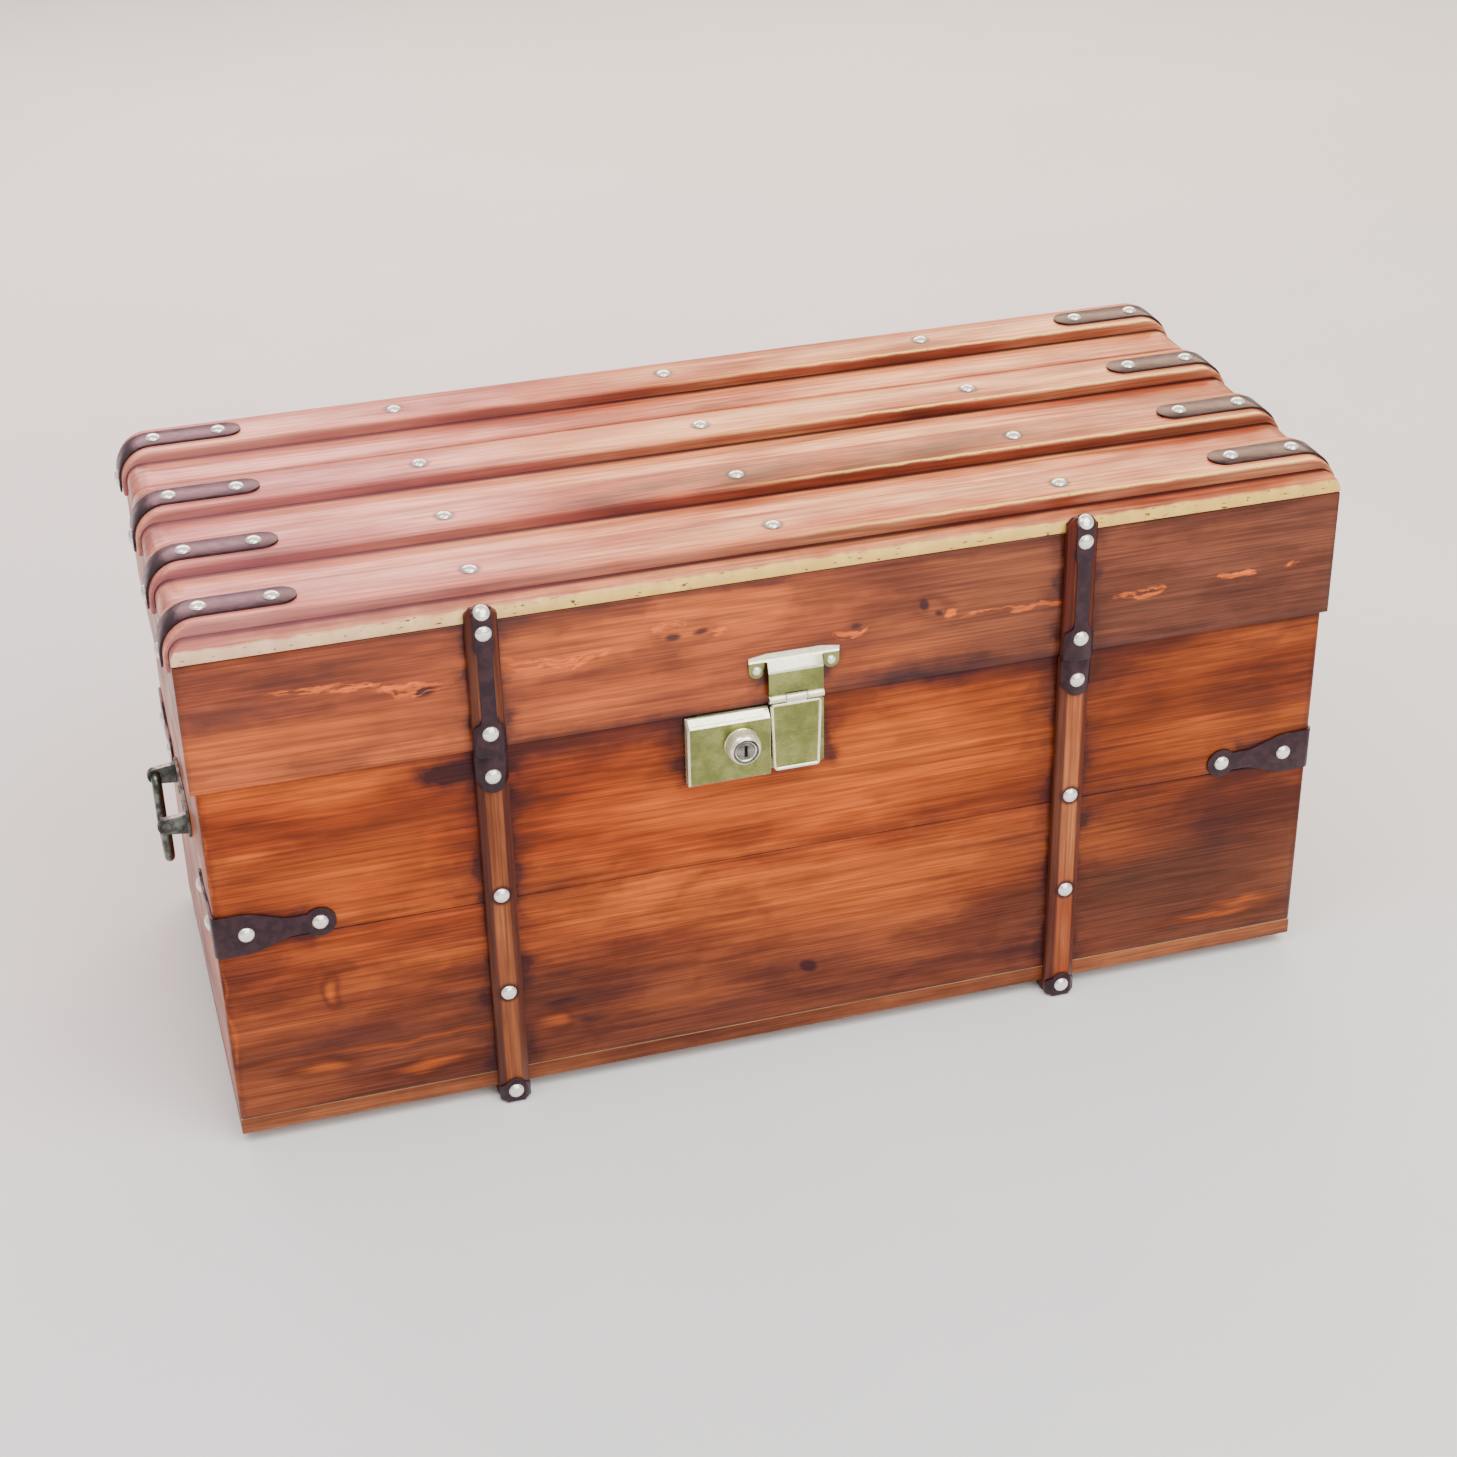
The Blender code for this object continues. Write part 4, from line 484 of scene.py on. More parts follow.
def batten(node, wood, heart, back=False, rounded=False, nails=(), timber="batten pine"):
    """An upright batten with chamfered edges, turned round for the back."""
    low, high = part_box(node)
    length, radius = high.z - low.z, BATTEN_TOP_RADIUS
    top = [(BATTEN_THICKNESS, length)]
    if rounded:
        top = arc((BATTEN_THICKNESS - radius, length - radius), radius, 0, 90, 6)
    bm = extruded([(0, 0), (BATTEN_THICKNESS, 0)] + top + [(0, length)], BATTEN_WIDTH)
    chamfered = [edge for edge in bm.edges
                 if abs(edge.verts[0].co.z - edge.verts[1].co.z) < BATTEN_CHAMFER
                 and any(vert.co.x > FIT for vert in edge.verts) and any(vert.co.y > FIT for vert in edge.verts)
                 and (rounded or any(vert.co.y < length - FIT for vert in edge.verts))]
    soften(bm, chamfered, BATTEN_CHAMFER, 1)
    formed(bm, lambda x, y, z: Vector((z - BATTEN_WIDTH / 2, -x, y)))
    soften(bm, sharp_edges(bm.edges), BATTEN_SOFT)
    formed(bm, lambda x, y, z: Vector((x, y, min(max(z, 0), length))))
    set_grain(bm, lambda spot: Vector((spot.z + low.z, spot.x, spot.y)), heart)
    for height in nails:
        nail(bm, (BATTEN_NAIL_STRAY * lean(height * 90), -BATTEN_THICKNESS, height - low.z), FRONT)
    settle(bm, (centre_of(node).x, wood, low.z), 180 if back else 0)
    add_piece(node, bm, (timber, "nickel nail"), "batten_pine", smooth=30)


def runner(node):
    """The bar under the bottom board that a pair of battens stands on."""
    bm = bmesh.new()
    block(bm, *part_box(node))
    soften(bm, sharp_edges(bm.edges), RUNNER_SOFT)
    set_grain(bm, lambda spot: Vector((spot.y, spot.x, spot.z)), RUNNER_HEART)
    add_piece(node, bm, ("batten pine",), "batten_pine")


# Irons on the front battens, cut flat: s runs along the batten, t across it
IRON_WIDE = BATTEN_FLAT / 2 + math.hypot(BATTEN_CHAMFER, BATTEN_CHAMFER)
IRON_NECK, IRON_CAP, IRON_FLARE, IRON_TONGUE = 0.010, 0.028, 0.008, 0.004
CAP_LENGTH, CAP_NAIL, CAP_NAIL_UP, HEAD_NAIL = 0.029, 0.016, 0.018, 0.0155
FOOT_HEIGHT, FOOT_NAIL, FOOT_TONGUE = 0.021, 0.0105, 0.006


def iron_carry(s, t, n):
    """From the flat iron to a batten's front and chamfers."""
    gap, corner = FIT + n, BATTEN_FLAT / 2
    widening = gap * math.tan(math.pi / 8)
    fall = max(abs(t) - corner, 0) / math.sqrt(2)
    aside = min(abs(t) / corner, 1) * (corner + widening) + fall
    return Vector((math.copysign(aside, t), fall - BATTEN_THICKNESS - gap, s))


def folded_over(turned_at, radius):
    """Carries an iron up a batten and folds it inwards past a given height."""
    def carry(s, t, n):
        spot, over = iron_carry(s, t, n), s - turned_at
        if over <= 0:
            return spot
        angle, on = min(over / radius, math.pi / 2), max(over - radius * math.pi / 2, 0)
        out = radius + n
        return Vector((spot.x, radius - BATTEN_THICKNESS - FIT + on - out * math.cos(angle),
                       turned_at + out * math.sin(angle)))
    return carry


def iron_sheet(right, bends=()):
    """A batten iron cut from its right half and creased for the chamfers and bends."""
    bm = plate([(s, t) for s, t in right] + [(s, -t) for s, t in reversed(right) if t > 1e-9],
               sizes().iron_thickness, sizes().rim)
    crease(bm, [-BATTEN_FLAT / 2, BATTEN_FLAT / 2], axis=1)
    crease(bm, bends, axis=0)
    return bm


def nailed_iron(node, bm, carry, nails, place, degrees=0):
    """Form an iron, nail it down and set it on its batten, upside down where it is turned."""
    formed(bm, carry)
    for s in nails:
        nail_on(bm, carry, s, 0, sizes().iron_thickness)
    settle(bm, (centre_of(node).x, *place), degrees, "Y")
    add_piece(node, bm, *IRON, smooth=50)


def eased(share):
    return share * share * (3 - 2 * share)


def flared(start, end, wide, narrow, steps=6):
    """An S-shaped edge that draws in from a wide place to a narrow one."""
    return [(start + (end - start) * share, wide + (narrow - wide) * eased(share))
            for share in spaced(0, 1, steps)]


def lid_iron(node):
    """Long iron on a lid batten: a cap at the seam, a narrow neck, and a head folded over the top."""
    length = LID_TOP - LID_FOOT - sizes().iron_thickness
    radius = BATTEN_TOP_RADIUS + FIT
    turned_at, quarter = length - radius, radius * math.pi / 2
    folded, upper = turned_at + quarter, turned_at - IRON_CAP
    tongue = BATTEN_FLAT / 2 - FIT
    right = ([(0, IRON_WIDE)] + flared(IRON_CAP - IRON_FLARE, IRON_CAP, IRON_WIDE, IRON_NECK / 2)
             + flared(upper, upper + IRON_FLARE, IRON_NECK / 2, tongue) + [(folded, tongue)]
             + arc((folded, 0), IRON_TONGUE, 60, 0, 4)[1:])
    nailed_iron(node, iron_sheet(right, spaced(turned_at, folded, 6)), folded_over(turned_at, radius),
                (CAP_NAIL_UP, length - HEAD_NAIL, turned_at + quarter / 2), (LID_FRONT - FIT, LID_FOOT))


def seam_cap(node):
    """Short iron round a base batten's head, drawn in to a rounded lip."""
    lip = CAP_LENGTH - IRON_FLARE
    bm = iron_sheet([(0, IRON_WIDE), (lip, IRON_WIDE)] + arc((lip, 0), IRON_FLARE, 60, 0, 6))
    nailed_iron(node, bm, iron_carry, (CAP_NAIL,), (BASE_FRONT - FIT, SEAM), 180)


def foot_cap(node):
    """Iron on a batten's foot: up its front and turned under its end."""
    turned_at = FOOT_HEIGHT - FIT - sizes().iron_thickness
    folded, straight, tongue = turned_at + FIT * math.pi / 2, turned_at - FIT, BATTEN_FLAT / 2 - FIT
    bm = iron_sheet(arc((IRON_FLARE, 0), IRON_FLARE, 180, 120, 6)
                    + [(IRON_FLARE, IRON_WIDE), (straight, IRON_WIDE), (straight, tongue),
                       (folded + FOOT_TONGUE, tongue)], spaced(turned_at, folded, 2))
    nailed_iron(node, bm, folded_over(turned_at, FIT), (FOOT_HEIGHT - FOOT_NAIL,),
                (BASE_FRONT - FIT, FOOT_HEIGHT + FIT), 180)


# Corner bands
BAND_HEIGHT = 0.1793
BAND_CORNER_WIDTH, BAND_NECK, BAND_LOBE = 0.033, 0.015, 0.0115
BAND_FLARE, BAND_NAILS = (0.3, 0.85), (0.021, 0.072)
BAND_CORNERS = (("front_left", -1, -1, 0), ("front_right", 1, -1, 90), ("rear_right", 1, 1, 180),
                ("rear_left", -1, 1, 270))


def band_carry(s, t, n):
    """From a flat band to a corner whose faces look along -X and -Y; s is 0 on the corner."""
    radius = CORNER_RADIUS + FIT
    half_arc = radius * math.pi / 4
    if abs(s) <= half_arc:
        angle = math.radians(225) + s / radius
        out = radius + n
        return Vector((CORNER_RADIUS + out * math.cos(angle), CORNER_RADIUS + out * math.sin(angle), t))
    leg = CORNER_RADIUS + abs(s) - half_arc
    return Vector((leg, -(FIT + n), t)) if s > 0 else Vector((-(FIT + n), leg, t))


def corner_band(name, x, y, degrees):
    """Band round a corner: wide on the corner, drawn in to a neck, with a round lobe at each tip."""
    half_arc = (CORNER_RADIUS + FIT) * math.pi / 4
    shift = half_arc - CORNER_RADIUS
    lobe = BAND_NAILS[1] + shift
    meets = math.degrees(math.asin(BAND_NECK / 2 / BAND_LOBE))
    neck_end = lobe - BAND_LOBE * math.cos(math.radians(meets))
    start, end = (share * neck_end for share in BAND_FLARE)
    upper = flared(start, end, BAND_CORNER_WIDTH / 2, BAND_NECK / 2, 8)
    tip = arc((lobe, 0), BAND_LOBE, 180 - meets, meets - 180, 22)
    right = upper + tip + [(s, -t) for s, t in reversed(upper)]
    bm = plate(right + [(-s, t) for s, t in reversed(right)], sizes().strap_thickness, sizes().rim)
    crease(bm, spaced(-half_arc, half_arc, 6), axis=0)
    formed(bm, band_carry)
    for side in (-1, 1):
        for place in BAND_NAILS:
            nail_on(bm, band_carry, side * (place + shift), 0, sizes().strap_thickness)
    settle(bm, (x * abs(BASE_LEFT), BASE_FRONT if y < 0 else BASE_BACK, BAND_HEIGHT), degrees)
    add_piece(f"corner_band_{name}", bm, *IRON)


# Lock
LOCK_PLATE_CORNER, LOCK_PLATE_SOFT = 0.002, 0.0004
CASE_SLOPE, CASE_CHAMFER, CASE_SOFT, CASE_WALL, CASE_FACE = 0.0055, 0.0022, 0.0003, 0.0055, 0.0013
BOLT_MIDDLE, BOLT_HALF = 0.26505, 0.003
BORE, SHOULDER, SHOULDER_DROP = 0.0069, 0.0038, 0.0070


def stood_up(bm, back):
    """Stand a sheet drawn in X and Y against the front, its thickness reaching forwards."""
    formed(bm, lambda x, y, z: Vector((x, back - z, y)))


def lock_plate():
    low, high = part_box("lock_plate")
    outline = rounded_rectangle(low.x, high.x, low.z, high.z, LOCK_PLATE_CORNER)
    bm = plate(outline, high.y - low.y, LOCK_PLATE_SOFT)
    stood_up(bm, high.y)
    add_piece("lock_plate", bm, ("lock brass",), "lock_brass")


def hollow_out(bm, depth, mouth):
    """Hollow the case from behind, and cut the bolt's mouth through its right wall."""
    back = min(bm.faces, key=lambda face: face.calc_center_median().z)
    bmesh.ops.inset_individual(bm, faces=[back], thickness=CASE_WALL)
    sunk(bm, [back], (0, 0, depth))
    right = max(vert.co.x for vert in bm.verts)

    def walls():
        bm.normal_update()
        return [face for face in bm.faces if abs(face.normal.x) > 0.9
                and face.calc_center_median().x > right - CASE_WALL - FIT]

    for axis, span in mouth.items():
        for line in span:
            normal = Vector((0, 0, 0))
            normal[axis] = 1
            parts = {part for face in walls() for part in (face, *face.edges, *face.verts)}
            bmesh.ops.bisect_plane(bm, geom=list(parts), dist=1e-6, plane_co=normal * line, plane_no=normal)
    openings = [face for face in walls()
                if all(low < face.calc_center_median()[axis] < high for axis, (low, high) in mouth.items())]
    rims = [edge for face in openings for edge in face.edges]
    bmesh.ops.delete(bm, geom=openings, context="FACES_ONLY")
    bmesh.ops.bridge_loops(bm, edges=rims)
    bmesh.ops.recalc_face_normals(bm, faces=bm.faces)


def lock_case():
    """Raised case, its top sloped and its left and lower edges filed to chamfers, hollow for the bolt."""
    low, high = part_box("lock_case")
    bm = extruded([(low.x, low.z), (high.x, low.z), (high.x, high.z), (low.x, high.z)], high.y - low.y)

    def front_edges(test):
        return edges_where(bm, lambda spot: spot.z > FIT and test(spot))

    soften(bm, front_edges(lambda spot: spot.y > high.z - FIT), CASE_SLOPE, 1)
    left, lower = front_edges(lambda spot: spot.x < low.x + FIT), front_edges(lambda spot: spot.y < low.z + FIT)
    soften(bm, left + lower, CASE_CHAMFER, 1)
    bolt_low, bolt_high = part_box("lock_bolt")
    hollow_out(bm, high.y - low.y - CASE_FACE, {
        1: (BOLT_MIDDLE - BOLT_HALF - FIT, BOLT_MIDDLE + BOLT_HALF + FIT),
        2: (high.y - bolt_high.y - FIT, high.y - bolt_low.y + FIT)})
    # The sloped top, chamfers and walls take the paler brass as a painted highlight
    dress(bm.faces, lambda face: abs(face.normal.z) < 0.95)
    soften(bm, sharp_edges(bm.edges), CASE_SOFT, 1)
    stood_up(bm, high.y)
    add_piece("lock_case", bm, ("lock brass", "rubbed brass"), "lock_brass", smooth=20)


def lock_barrel():
    """Round collar on the case, dished round the plug; its profile gives radius and height."""
    low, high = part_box("lock_barrel")
    radius, proud = (high.x - low.x) / 2, high.y - low.y
    drop = min(SHOULDER_DROP, proud - 0.0030)
    shoulder = arc((0, 0), 1, 80, 0, 8)
    profile = ([(BORE, proud - 0.0010), (BORE + 0.0007, proud - 0.0004), (BORE + 0.0016, proud - 0.0003)]
               + [(radius - SHOULDER * (1 - across), proud - drop * (1 - up)) for across, up in shoulder]
               + [(radius, 0.0022), (radius - 0.0005, 0.0016), (radius - 0.0005, 0.0012), (radius, 0.0008),
                  (radius, 0), (BORE, 0)])
    bm = bmesh.new()
    verts = [bm.verts.new((out, -height, 0)) for out, height in profile]
    bmesh.ops.spin(bm, geom=verts + [bm.edges.new(pair) for pair in zip(verts, verts[1:] + verts[:1])],
                   cent=(0, 0, 0), axis=(0, 1, 0), dvec=(0, 0, 0), angle=math.tau, steps=48, use_merge=True,
                   use_duplicate=False)
    settle(bm, ((low.x + high.x) / 2, high.y, (low.z + high.z) / 2))
    bm.normal_update()
    # The flat faces take dark iron; the shoulder and sides take the paler brass as a painted highlight
    dress(bm.faces, lambda face: abs(face.normal.y) > 0.9)
    add_piece("lock_barrel", bm, ("rubbed brass", "handle iron"), "lock_brass")


# Hasp and hinge plate, drawn from the hasp's pin
HASP_WIDTH, HASP_TIP, HASP_LENGTH, HASP_THICKNESS = 0.038, 0.034, 0.057, 0.0024
KNUCKLE_RADIUS, KNUCKLE_LENGTH, PIN_RADIUS = 0.003, 0.015, 0.0015
KNUCKLE_ROOM, KNUCKLE_SOFT = (KNUCKLE_RADIUS + FIT) * 1.2, 0.0003
HASP_CORNER, HASP_BORDER, HASP_SUNK, HASP_SOFT, HASP_FIELD = 0.003, 0.0016, 0.0006, 0.0009, 0.001
LIP_AT, LIP_CREASED, LIP_REACH, LIP_TURN = 0.0495, 0.0555, 0.0075, 0.0014
# The staple behind the hasp: its sides, its two bars' edges and its bridge
STAPLE_SIDES, STAPLE_BARS, STAPLE_BRIDGE = (-0.011, -0.008), ((0.2597, 0.2609), (0.2692, 0.2704)), 0.0009


def joint_place(name):
    """A joint's pivot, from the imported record."""
    return Vector({joint["name"]: joint for joint in frame["joints"]}[name]["pos_m"])


def stacked(outlines, heights):
    """A closed body skinned over flat outlines of as many points each, kept apart while they are joined."""
    bm = bmesh.new()
    rings = []
    for level, outline in enumerate(outlines):
        verts = [bm.verts.new((x, y, level)) for x, y in outline]
        rings.append([bm.edges.new(pair) for pair in zip(verts, verts[1:] + verts[:1])])
    for near, far in zip(rings, rings[1:]):
        bmesh.ops.bridge_loops(bm, edges=near + far)
    for ring in (rings[0], rings[-1]):
        bmesh.ops.contextual_create(bm, geom=ring)
    for vert in bm.verts:
        vert.co.z = heights[round(vert.co.z)]
    bmesh.ops.recalc_face_normals(bm, faces=bm.faces)
    return bm, rings


def hasp():
    """Shield with a raised border and a lip that turns out, on a knuckle, with a staple behind."""
    pin = joint_place("hasp_hinge")
    half, tab = HASP_WIDTH / 2, KNUCKLE_LENGTH / 2

    def outline(inset, radius):
        return rounded_rectangle(inset - half, half - inset, inset - HASP_LENGTH, -KNUCKLE_ROOM - inset, radius)

    outer, inner = outline(0, HASP_CORNER), outline(HASP_BORDER, HASP_CORNER / 2)
    slope = outline(HASP_BORDER + HASP_SUNK, HASP_CORNER / 2 - HASP_SUNK)
    bm, rings = stacked((outer, outer, inner, slope),
                        (0, HASP_THICKNESS, HASP_THICKNESS, HASP_THICKNESS - HASP_SUNK))
    # The border, sides and back take the paler brass as a painted highlight, as do the knuckle and staple
    dress(bm.faces, lambda face: (face.calc_area() < HASP_FIELD
                                  or face.calc_center_median().z < HASP_THICKNESS / 2))
    soften(bm, rings[1], HASP_SOFT, 3)
    crease(bm, spaced(-LIP_AT, -LIP_CREASED, 4), axis=1)
    narrowing = (1 - HASP_TIP / HASP_WIDTH) / HASP_LENGTH

    def carry(x, y, z):
        lip = max(-LIP_AT - y, 0) / LIP_REACH
        return Vector((x * (1 + y * narrowing), HASP_THICKNESS / 2 - z - LIP_TURN * lip ** 2, y))

    formed(bm, carry)
    plain = set(bm.faces)
    block(bm, (-tab, 0.0002 - HASP_THICKNESS / 2, -KNUCKLE_ROOM - 0.0006), (tab, HASP_THICKNESS / 2, -0.001))
    rod(bm, KNUCKLE_RADIUS, (-tab, 0, 0), (tab, 0, 0), soft=KNUCKLE_SOFT)
    dress(set(bm.faces) - plain, lambda face: 1)
    left, right = (side - pin.x for side in STAPLE_SIDES)
    behind, rear = HASP_THICKNESS / 2 - 0.0002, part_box("hasp")[1].y - pin.y
    bridge = (STAPLE_BARS[0][0], STAPLE_BARS[1][1])
    for (foot, head), near in zip((*STAPLE_BARS, bridge), (behind, behind, rear - STAPLE_BRIDGE)):
        block(bm, (left, near, foot - pin.z), (right, rear, head - pin.z))
    settle(bm, pin)
    add_piece("hasp", bm, ("lock brass", "rubbed brass"), "lock_brass", smooth=30)


PLATE_SPAN, PLATE_NECK, PLATE_HEIGHT, PLATE_THICKNESS = 0.066, 0.040, 0.034, 0.0014
PLATE_BAR, PLATE_LEAN, PLATE_SLOPE, PLATE_SOFT = 0.006, 0.001, 0.0125, 0.0004
EAR_HEIGHT, EAR_SLIT, ARM_FALL, KNUCKLE_GAP = 0.018, 0.001, 0.002, 0.0004
EAR_NAIL = {"radius": 0.0034, "rise": 0.0018}


def hinge_plate():
    """T plate: ears nailed to the lid, and a neck that leans out to two knuckles on a fixed pin."""
    pin = joint_place("hasp_hinge")
    half, neck = PLATE_SPAN / 2, PLATE_NECK / 2
    slit = neck + EAR_SLIT
    ear, gap = (half - slit) / 2, KNUCKLE_LENGTH / 2 + KNUCKLE_GAP
    right = ([(neck, 0), (half, -ARM_FALL)] + arc((half - ear, ear - EAR_HEIGHT), ear, 0, -180, 12)
             + [(slit, -PLATE_BAR), (neck, -PLATE_BAR), (neck, -PLATE_HEIGHT), (gap, -PLATE_HEIGHT),
                (gap, KNUCKLE_ROOM - PLATE_HEIGHT)])
    bm = plate(mirrored(right), PLATE_THICKNESS, PLATE_SOFT)
    crease(bm, [-PLATE_BAR] + spaced(-PLATE_LEAN, -PLATE_LEAN - PLATE_SLOPE, 8), axis=1)
    wood = LID_FRONT - pin.y - FIT

    def on_ear(x):
        return abs(x) > neck + EAR_SLIT / 2

    def carry(x, y, z):
        share = 0 if on_ear(x) else min(max((-y - PLATE_LEAN) / PLATE_SLOPE, 0), 1)
        run_out = (wood - PLATE_THICKNESS / 2) * (eased(share) * 0.3 + share * 0.7)
        return Vector((x, wood - z - run_out, PLATE_HEIGHT + y))

    # The bar and the sloped neck take the paler brass as a painted highlight; the upright neck below and the
    # ears' lower parts take plain brass
    def tone(face):
        spot = face.calc_center_median()
        return 2 if spot.y < -(PLATE_BAR if on_ear(spot.x) else PLATE_LEAN + PLATE_SLOPE) else 0

    dress(bm.faces, tone)
    formed(bm, carry)
    rod(bm, PIN_RADIUS, (-neck, 0, 0), (neck, 0, 0), 20)
    for sign in (-1, 1):
        rod(bm, KNUCKLE_RADIUS, (sign * gap, 0, 0), (sign * neck, 0, 0), soft=KNUCKLE_SOFT)
        nail_on(bm, carry, sign * (half - ear), ear - EAR_HEIGHT, PLATE_THICKNESS, **EAR_NAIL)
    settle(bm, pin)
    add_piece("hasp_hinge_plate", bm, ("rubbed brass", "nickel nail", "lock brass"), "lock_brass", smooth=30)


# Screws, hinge leaves and handles
SCREW_RADIUS, SCREW_RISE = 0.0034, 0.0009
SCREW_SLOT, SCREW_DEPTH, SCREW_SOFT = SCREW_RADIUS * 0.16, SCREW_RISE * 0.8, SCREW_RISE * 0.6
LEAF_SCREWS, LEAF_FACE, LEAF_SOFT = ((-0.020, 0.013), (0.020, 0.013), (0.0, 0.028)), 0.002, 0.0004


def screw(bm, place, out, turn):
    """Add a slotted screw head that stands a little proud."""
    made = bmesh.new()
    bmesh.ops.create_cone(made, cap_ends=True, segments=24, radius1=SCREW_RADIUS, radius2=SCREW_RADIUS,
                          depth=SCREW_RISE * 2)
    soften(made, edges_where(made, lambda spot: spot.z > 0), SCREW_SOFT)
    crease(made, (-SCREW_SLOT, SCREW_SLOT), axis=1)
    sunk(made, [face for face in made.faces if face.normal.z > 0.9
                and abs(face.calc_center_median().y) < SCREW_SLOT], (0, 0, -SCREW_DEPTH))
    dress(made.faces, lambda face: 1)
    bmesh.ops.transform(made, verts=made.verts,
                        matrix=stand(place, Vector(out)) @ Matrix.Rotation(turn, 4, "Z"))
    spare = bpy.data.meshes.new("screw")
    made.to_mesh(spare)
    made.free()
    bm.from_mesh(spare)
    bpy.data.meshes.remove(spare)


def hinge_leaf(node, sign):
    """Rear hinge leaf with three slotted screws."""
    middle, pin = centre_of(node).x, joint_place("lid_hinge").z

    def screws(bm):
        for number, (aside, rise) in enumerate(LEAF_SCREWS):
            screw(bm, (middle + aside, BASE_BACK + FIT + LEAF_FACE, pin + sign * rise), (0, 1, 0),
                  number * 0.9 + middle * 5)
    add_soft_copy(node, ("black iron", "worn steel"), "black_iron", LEAF_SOFT, screws)


HANDLE_ROD, HANDLE_SPAN, HANDLE_DROP, HANDLE_BEND, HANDLE_PIVOT = 0.0038, 0.060, 0.035, 0.010, 0.010
BRACKET_FACE, BRACKET_SCREW, BRACKET_SOFT = 0.0022, 0.0115, 0.0005


def bail(side_name):
    """Drop handle: a rod bent to a U, its ends turned out into the bracket's ears."""
    small, half = HANDLE_ROD * 1.5, HANDLE_SPAN / 2
    low = HANDLE_BEND - HANDLE_DROP
    bm = bmesh.new()
    start = Matrix.Translation((0, half + HANDLE_PIVOT, 0)) @ Matrix.Rotation(math.pi / 2, 4, "X")
    bmesh.ops.create_circle(bm, cap_ends=True, segments=20, radius=HANDLE_ROD, matrix=start)
    end = bm.faces[:]

    def bend(faces, y, z, degrees, steps):
        made = bmesh.ops.spin(bm, geom=faces, cent=(0, y, z), axis=(1, 0, 0), dvec=(0, 0, 0),
                              angle=math.radians(degrees), steps=steps, use_merge=False, use_duplicate=False)
        return only(made["geom_last"], bmesh.types.BMFace)

    end = bend(pushed(bm, end, (0, small - HANDLE_PIVOT, 0)), half + small, -small, 90, 6)
    end = bend(pushed(bm, end, (0, 0, small + low)), half - HANDLE_BEND, low, -90, 8)
    for _ in range(6):
        end = pushed(bm, end, (0, (HANDLE_BEND - half) / 3, 0))
    end = bend(end, HANDLE_BEND - half, low, -90, 8)
    end = bend(pushed(bm, end, (0, 0, -low - small)), -half - small, -small, 90, 6)
    pushed(bm, end, (0, small - HANDLE_PIVOT, 0))
    settle(bm, joint_place(f"{side_name}_handle_hinge"))
    add_piece(f"handle_bail_{side_name}", bm, ("handle iron",), "handle_iron")


def bracket(side_name, side):
    """Handle bracket with two screws between its ears."""
    pivot = joint_place(f"{side_name}_handle_hinge")
    face = side * (abs(BASE_LEFT) + FIT + BRACKET_FACE)

    def screws(bm):
        for number, aside in enumerate((-BRACKET_SCREW, BRACKET_SCREW)):
            screw(bm, (face, pivot.y + aside, pivot.z), (side, 0, 0), 0.7 + number)
    add_soft_copy(f"handle_bracket_{side_name}", ("handle iron", "worn steel"), "handle_iron",
                  BRACKET_SOFT, screws)


# Shader nodes
ORIGIN, MID_GREY = (0, 0, 0), (0.5, 0.5, 0.5)


class Value:
    """A shader socket that can be reckoned with."""

    def __init__(self, tree, socket):
        self.tree, self.socket = tree, socket

    def by(self, operation, *others, reverse=False, **settings):
        """A maths node on this value and others, of numbers or of vectors as this one is."""
        kind = "Math" if self.socket.type == "VALUE" else "VectorMath"
        values = (*others, self) if reverse else (self, *others)
        out = "Value" if operation in ("DOT_PRODUCT", "LENGTH") else 0
        return self.tree.value(kind, out, dict(enumerate(values)), operation=operation, **settings)

    def __add__(self, other):
        return self.by("ADD", other)

    def __sub__(self, other):
        return self.by("SUBTRACT", other)

    def __rsub__(self, other):
        return self.by("SUBTRACT", other, reverse=True)

    def __mul__(self, other):
        return self.by("MULTIPLY", other)

    def __truediv__(self, other):
        return self.by("DIVIDE", other)

    def __pow__(self, other):
        return self.by("POWER", other)

    def __abs__(self):
        return self.by("ABSOLUTE")

    def scaled(self, factor, offset):
        return self.by("MULTIPLY_ADD", factor, offset)

    def share(self, part):
        """A part of this value, kept between 0 and 1."""
        return self.by("MULTIPLY", part, use_clamp=True)

    def split(self):
        node = self.tree.add("SeparateXYZ", {0: self})
        return [Value(self.tree, socket) for socket in node.outputs]

    def between(self, low, high, start=0.0, end=1.0):
        """A smooth step from one number at the low limit to another at the high one."""
        return self.tree.value("MapRange", 0, {0: self, 1: low, 2: high, 3: start, 4: end},
                               interpolation_type="SMOOTHSTEP")

    def noise(self, scale=1.0, detail=2.0, roughness=0.5, distortion=0.0, out="Fac"):
        return self.tree.value("TexNoise", out, {"Vector": self, "Scale": scale, "Detail": detail,
                                                 "Roughness": roughness, "Distortion": distortion})


